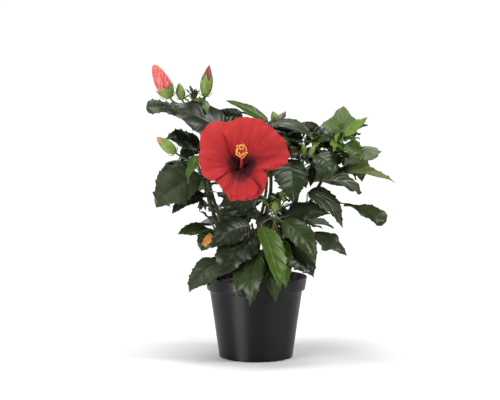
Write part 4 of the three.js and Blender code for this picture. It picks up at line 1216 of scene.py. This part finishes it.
def add_bloom(looks, twigs):
    """The open bloom: five petals, the column with its stamens, the calyx, and the stalk among the twigs."""
    dice = random.Random("bloom")
    petals = Shapes()
    for index in range(len(BLOOM["petals"])):
        add_sheet(petals, petal_surface(index, dice), BLOOM["half"], "petal")
    petals.piece("bloom_petals", "bloom", ["bloom"], looks, matrix=bloom_matrix())
    add_column(looks, dice)
    add_calyx(looks)
    _, _, axis = bloom_directions()
    seat = np.array(BLOOM["throat"], float) - axis * BLOOM["tube"]
    _, _, tip, arrive, (_, radius) = BOUGHS["bloom"]
    start, ahead = np.array(tip, float), heading(*arrive)
    reach = 0.4 * np.linalg.norm(seat - start)
    path = cubic(start - ahead * 2, start + ahead * reach, seat - axis * reach, seat + axis * 2, 16)
    add_tube(twigs, path, (radius, radius * 0.9), "stem", 10)


def add_column(looks, dice):
    """The column in the bloom's frame, with its filaments, anthers and stigma pads."""
    long, stamens, (low, high) = BLOOM["column"], BLOOM["stamens"], BLOOM["along"]
    column, anthers = Shapes(), Shapes()
    middle = [UP * height for height in np.linspace(-2, long, 20)]
    add_tube(column, middle, BLOOM["column_r"], "column", 12, round_end=True)
    for i in range(stamens):
        out = heading(i * GOLDEN, 0)
        reach = BLOOM["stamen"] * dice.uniform(0.75, 1.15)
        root = UP * long * (low + (high - low) * i / (stamens - 1))
        tip = root + out * reach + UP * reach * 0.4
        add_tube(column, quadratic(root, root + out * reach * 0.7, tip, 4), BLOOM["filament_r"], "column", 5)
        add_ball(anthers, tip, BLOOM["anther"], "anther", out + UP * 0.6, 7)
    for i in range(BLOOM["pads"]):
        out = heading(360 * (i + 0.3) / BLOOM["pads"], 0)
        root = UP * long
        tip = root + out * 2.6 + UP * 3.2
        add_tube(column, quadratic(root, root + UP * 2, tip, 5), BLOOM["pad_r"], "column", 6)
        add_ball(anthers, tip, BLOOM["pad"], "stigma", out + UP, 8)
    column.piece("bloom_column", "bloom", [], looks, matrix=bloom_matrix())
    anthers.piece("bloom_anthers", "bloom", [], looks, matrix=bloom_matrix())


def add_calyx(looks):
    """The tube behind the petals, in its five-pointed calyx with thin bracts."""
    shapes = Shapes()
    sides, rows = BUD["sides"], BUD["cup_rows"]
    angles = spins(sides)
    core, tube_long, wide, long = BLOOM["core"], BLOOM["tube"], BLOOM["calyx_r"], BLOOM["calyx_long"]
    climb = np.linspace(-tube_long + 4, 0.4, 14)
    girth = np.interp(climb, [-tube_long, -10, -4, 0.4], [3, core * 0.8, core * 0.8, core * 0.66])
    add_tube(shapes, [UP * z for z in climb], girth, "petal_tube", sides)
    tooth = np.abs((5 * angles / (2 * np.pi)) % 1 * 2 - 1)[None, :]
    share = np.linspace(0, 1, rows)[:, None]
    height = share * long * (0.62 + 0.5 * tooth**1.2)
    radius = wide * np.sin(np.pi * (0.12 + 0.5 * np.clip(height / long, 0, 1.2))) ** 0.8
    radius = radius * (1 + 0.05 * np.cos(5 * angles)[None, :]) + smooth_step(share, 0.7, 1) * tooth * 1.6
    walls = [ring(r, height - tube_long, sides) for r in (radius, radius - 0.6)]
    here, count = np.arange(sides), rows * sides
    after = np.roll(here, -1)
    foot = np.stack([after, count + after, count + here, here], -1)
    shapes.add(walls, np.concatenate([cup_faces(rows, sides), foot]), "calyx")
    for i in range(BLOOM["bracts"]):
        out = heading(360 * i / BLOOM["bracts"], 0)
        base = out * 2.5 - UP * (tube_long - 0.5)
        tip = out * (wide + 5) - UP * (tube_long - 12)
        bend = out * (wide + 3) - UP * tube_long
        add_tube(shapes, quadratic(base, bend, tip, 6), BLOOM["bract_r"], "calyx", 5)
    shapes.piece("bloom_calyx", "bloom", [], looks, matrix=bloom_matrix())


# ---- Bark ----

# The relief's streaks and knots are marks of these sizes. A spur of the root flare goes through heights and
# reaches from the trunk's middle. A bough's collar widens its first rings by these factors.
BARK = {
    "voxel": 0.75, "relief": 0.28, "streak": (1.6, 1.6, 7), "knot": 3.2, "spurs": 6, "spur_turn": 17,
    "spur": ((16, 1.5), (4, 4), (0.9, 7.2)), "spur_r": (3.2, 1.7),
    "collar": (1.5, 1.4, 1.25, 1.15, 1.08, 1.02),
}


def add_bark(look):
    """The trunk and the boughs as one skin that flows from limb to limb, with relief along it."""
    shapes = Shapes()
    heights = np.linspace(0, TRUNK["height"], 14)
    middle = [trunk_middle(height) for height in heights]
    foot, flare, top = TRUNK["foot"], TRUNK["flare"], TRUNK["top"]
    stations, radii = (0, 0.1, 0.25, 0.5, 1), (foot + 0.6, flare + 0.8, flare, top + 1.4, top)
    add_tube(shapes, middle, np.interp(heights / TRUNK["height"], stations, radii), "bark", 20)
    for i in range(BARK["spurs"]):
        out = heading(360 * i / BARK["spurs"] + BARK["spur_turn"], 0)
        spur = [trunk_middle(height) + out * reach for height, reach in BARK["spur"]]
        add_tube(shapes, quadratic(*spur, 6), BARK["spur_r"], "bark", 8)
    for name, (_, _, _, _, radii) in BOUGHS.items():
        path = bough_path(name)
        girth = np.linspace(radii[0], radii[1], len(path))
        girth[:len(BARK["collar"])] = radii[0] * np.array(BARK["collar"])
        add_tube(shapes, path, girth, "bark", 10)
    nodes = ["trunk", *[f"bough_{name}" for name in BOUGHS]]
    skin = shapes.piece("bark", "bark", nodes, {"bark": look}, sharp=180)
    remesh = skin.modifiers.new("skin", "REMESH")
    remesh.mode = "VOXEL"
    remesh.voxel_size = BARK["voxel"] * MM
    remesh.use_smooth_shade = True
    smooth = skin.modifiers.new("flow", "SMOOTH")
    smooth.factor = 0.5
    smooth.iterations = 3
    apply_modifiers(skin)
    relief(skin)


def apply_modifiers(thing):
    graph = bpy.context.evaluated_depsgraph_get()
    mesh = bpy.data.meshes.new_from_object(thing.evaluated_get(graph))
    thing.modifiers.clear()
    thing.data = mesh


def relief(skin):
    """Ridges along the bark, knots across it, and the flat cut at the soil."""
    vertices = skin.data.vertices
    places, normals = np.empty(len(vertices) * 3), np.empty(len(vertices) * 3)
    vertices.foreach_get("co", places)
    vertices.foreach_get("normal", normals)
    places = places.reshape(-1, 3) / MM
    ridges, knots = [
        np.array([noise.noise(Vector(place)) for place in places / np.array(size)])
        for size in (BARK["streak"], BARK["knot"])
    ]
    depth = BARK["relief"] * (0.7 * ridges + 0.6 * knots)
    places += normals.reshape(-1, 3) * depth[:, None]
    places[:, 2] = np.maximum(places[:, 2], trunk_foot[2])
    vertices.foreach_set("co", (places * MM).reshape(-1))
    skin.data.update()


# ---- Pot and soil ----


def pot_profile():
    """Radius and height pairs round the wall's section, from the underside's middle to the inner floor's."""
    top, band_top, wall = POT["height"], POT["height"] - POT["band"], POT["wall"]
    foot, shoulder, rim, band_foot = POT["foot"], POT["shoulder"], POT["rim"], POT["band_foot"]

    def wall_radius(z):
        return foot + (shoulder - foot) * z / band_top

    underside = [(0, 0.9), (30, 0.9), (36, 0.8), (37.5, 0.1), (38.5, 0), (43.6, 0), (44.6, 0.3)]
    side = [(wall_radius(1), 1.2), *[(wall_radius(z), z) for z in (3.4, 4.4, 8, 20, 32, 44, 56, 68, 78, 84)]]
    step = [
        (shoulder - 0.05, band_top - 0.5), (shoulder + 0.15, band_top), (shoulder + 1, band_top + 0.45),
        (band_foot - 1, band_top + 1.2), (band_foot - 0.25, band_top + 1.5), (band_foot, band_top + 2),
    ]
    band = [(band_foot + (rim - 0.6 - band_foot) * s, band_top + 2 + (POT["band"] - 3.4) * s)
            for s in (0.25, 0.5, 0.75, 0.92)]
    lip = [(rim - 0.55, top - 1.1), (rim - 0.35, top - 0.7), (rim - 0.55, top - 0.25), (rim - 0.9, top)]
    inside = [
        (rim - wall - 0.2, top), (rim - wall - 0.5, top - 0.3), (band_foot - wall, band_top + 2.8),
        (shoulder - wall, band_top - 0.5), *[(wall_radius(z) - wall, z) for z in (60, 30, POT["floor"] + 1)],
        (wall_radius(POT["floor"]) - wall - 1, POT["floor"]), (0, POT["floor"]),
    ]
    return underside + side + step + band + lip + inside


def add_pot(look):
    """The pot as a turned wall of even thickness, with drain notches cut through its foot."""
    (_, under), *wall, (_, floor) = pot_profile()
    rings = [ring(radius, height, POT["sides"]) for radius, height in wall]
    shapes = Shapes()
    shapes.add(*closed_rings(rings, [[0, 0, under], [0, 0, floor]]), "pot")
    shell = shapes.piece("pot_shell", "pot", ["pot"], {"pot": look}, sharp=40)
    cutter = notch_cutter()
    cut = shell.modifiers.new("notches", "BOOLEAN")
    cut.operation = "DIFFERENCE"
    cut.solver = "EXACT"
    cut.object = cutter
    apply_modifiers(shell)
    bpy.data.objects.remove(cutter)
    shell.data.set_sharp_from_angle(angle=math.radians(40))


def notch_cutter():
    """The drain notches as one mesh of arched blocks round the foot."""
    wide, high = POT["hole_width"] / 2, POT["hole_height"]
    arch = [(-wide, -1), (wide, -1), (wide, high * 0.55), (wide * 0.6, high * 0.92), (0, high),
            (-wide * 0.6, high * 0.92), (-wide, high * 0.55)]
    count = len(arch)
    faces = [[s, (s + 1) % count, count + (s + 1) % count, count + s] for s in range(count)]
    faces += [list(range(count))[::-1], list(range(count, 2 * count))]
    shapes = Shapes()
    for i in range(POT["holes"]):
        out = heading(360 * (i - 0.5) / POT["holes"] + POT["hole_turn"], 0)
        across = np.cross(UP, out)
        ends = [out * (POT["foot"] - 5.5), out * (POT["foot"] + 3.5)]
        shapes.add([[end + across * x + UP * z for x, z in arch] for end in ends], faces, "notch")
    return mesh_object("notches", shapes.points, shapes.faces)


def soil_height(radius):
    return np.interp(radius, [SOIL["flat"], POT["band_foot"]], [SOIL["top"], SOIL["edge"]])


def add_soil(look, chip_look):
    """The fill of the pot with a lumpy top, and the bark chips that lie on it."""
    band_top = POT["height"] - POT["band"]
    edge = POT["band_foot"] - POT["wall"] - CLEAR - 0.1
    inset = POT["wall"] + 0.6
    wall = [(POT["foot"] - inset, SOIL["below"]), (POT["shoulder"] - inset, band_top - 0.5),
            (edge - 0.2, band_top + POT["band_step"] + 1.2)]
    rings = [ring(radius, height, SOIL["sides"]) for radius, height in wall]
    for radius in np.linspace(edge, 1.2, SOIL["rings"]):
        level = ring(radius, 0, SOIL["sides"])
        spots = [Vector((x / SOIL["lump"], y / SOIL["lump"], 3)) for x, y, _ in level]
        lumps = [noise.fractal(spot, 1.0, 2.0, 4) for spot in spots]
        level[:, 2] = soil_height(radius) - 0.9 + 1.3 * np.array(lumps)
        rings.append(level)
    shapes = Shapes()
    shapes.add(*closed_rings(rings, [[0, 0, SOIL["below"]], [0, 0, SOIL["top"] - 0.8]]), "soil")
    shapes.piece("soil_bed", "soil", ["soil"], {"soil": look}, sharp=70)
    add_chips(chip_look, edge)


def add_chips(look, edge):
    """Bark chips: flat, six-sided and uneven, lying at all angles on the soil."""
    dice = random.Random("chips")
    corners = (0.25, 1.1, 2.3, 3.3, 4.2, 5.3)
    count = len(corners)
    faces = grid_faces(3, count, closed=True, flip=True).tolist()
    faces += [list(range(count))[::-1], list(range(2 * count, 3 * count))]
    shapes = Shapes()
    for _ in range(CHIPS["count"]):
        radius = edge * math.sqrt(dice.uniform(0.02, 0.86))
        spin = dice.uniform(0, 2 * math.pi)
        long, wide, thick = [dice.uniform(*CHIPS[side]) for side in ("long", "wide", "thick")]
        centre = Vector((radius * math.cos(spin), radius * math.sin(spin), float(soil_height(radius)) + 0.1))
        turn = Matrix.Rotation(dice.uniform(0, 6.28), 3, "Z")
        turn = turn @ Matrix.Rotation(dice.gauss(0, CHIPS["tip"]), 3, "X")
        turn = turn @ Matrix.Rotation(dice.gauss(0, CHIPS["tilt"]), 3, "Y")
        outline = [
            (math.cos(a) * long / 2 * dice.uniform(0.8, 1.1), math.sin(a) * wide / 2 * dice.uniform(0.7, 1.1))
            for a in corners
        ]
        rings = [
            [centre + turn @ Vector((x * scale, y * scale, z)) for x, y in outline]
            for z, scale in ((-thick / 2, 0.85), (0, 1), (thick / 2, 0.82))
        ]
        shapes.add(rings, faces, "chips")
    shapes.piece("bark_chips", "soil", [], {"chips": look}, sharp=35)


# ---- The whole ----

add_camera()
add_lamps()
add_surroundings()

looks = leaf_looks()
looks["stem"] = stem_material()
looks["petal"] = petal_material()
looks["bud_pink"] = bud_material()
for look, row in PLAIN.items():
    looks[look] = plain_material(*row)

add_pot(pot_material())
add_soil(soil_material(), chip_material())
add_bark(bark_material())
twigs, buds = Shapes(), Shapes()
for name in MASSES:
    add_mass(name, looks, twigs, buds)
add_bloom(looks, twigs)
twigs.piece("twigs", "bark", [], looks)
buds.piece("buds", "bloom", [], looks)
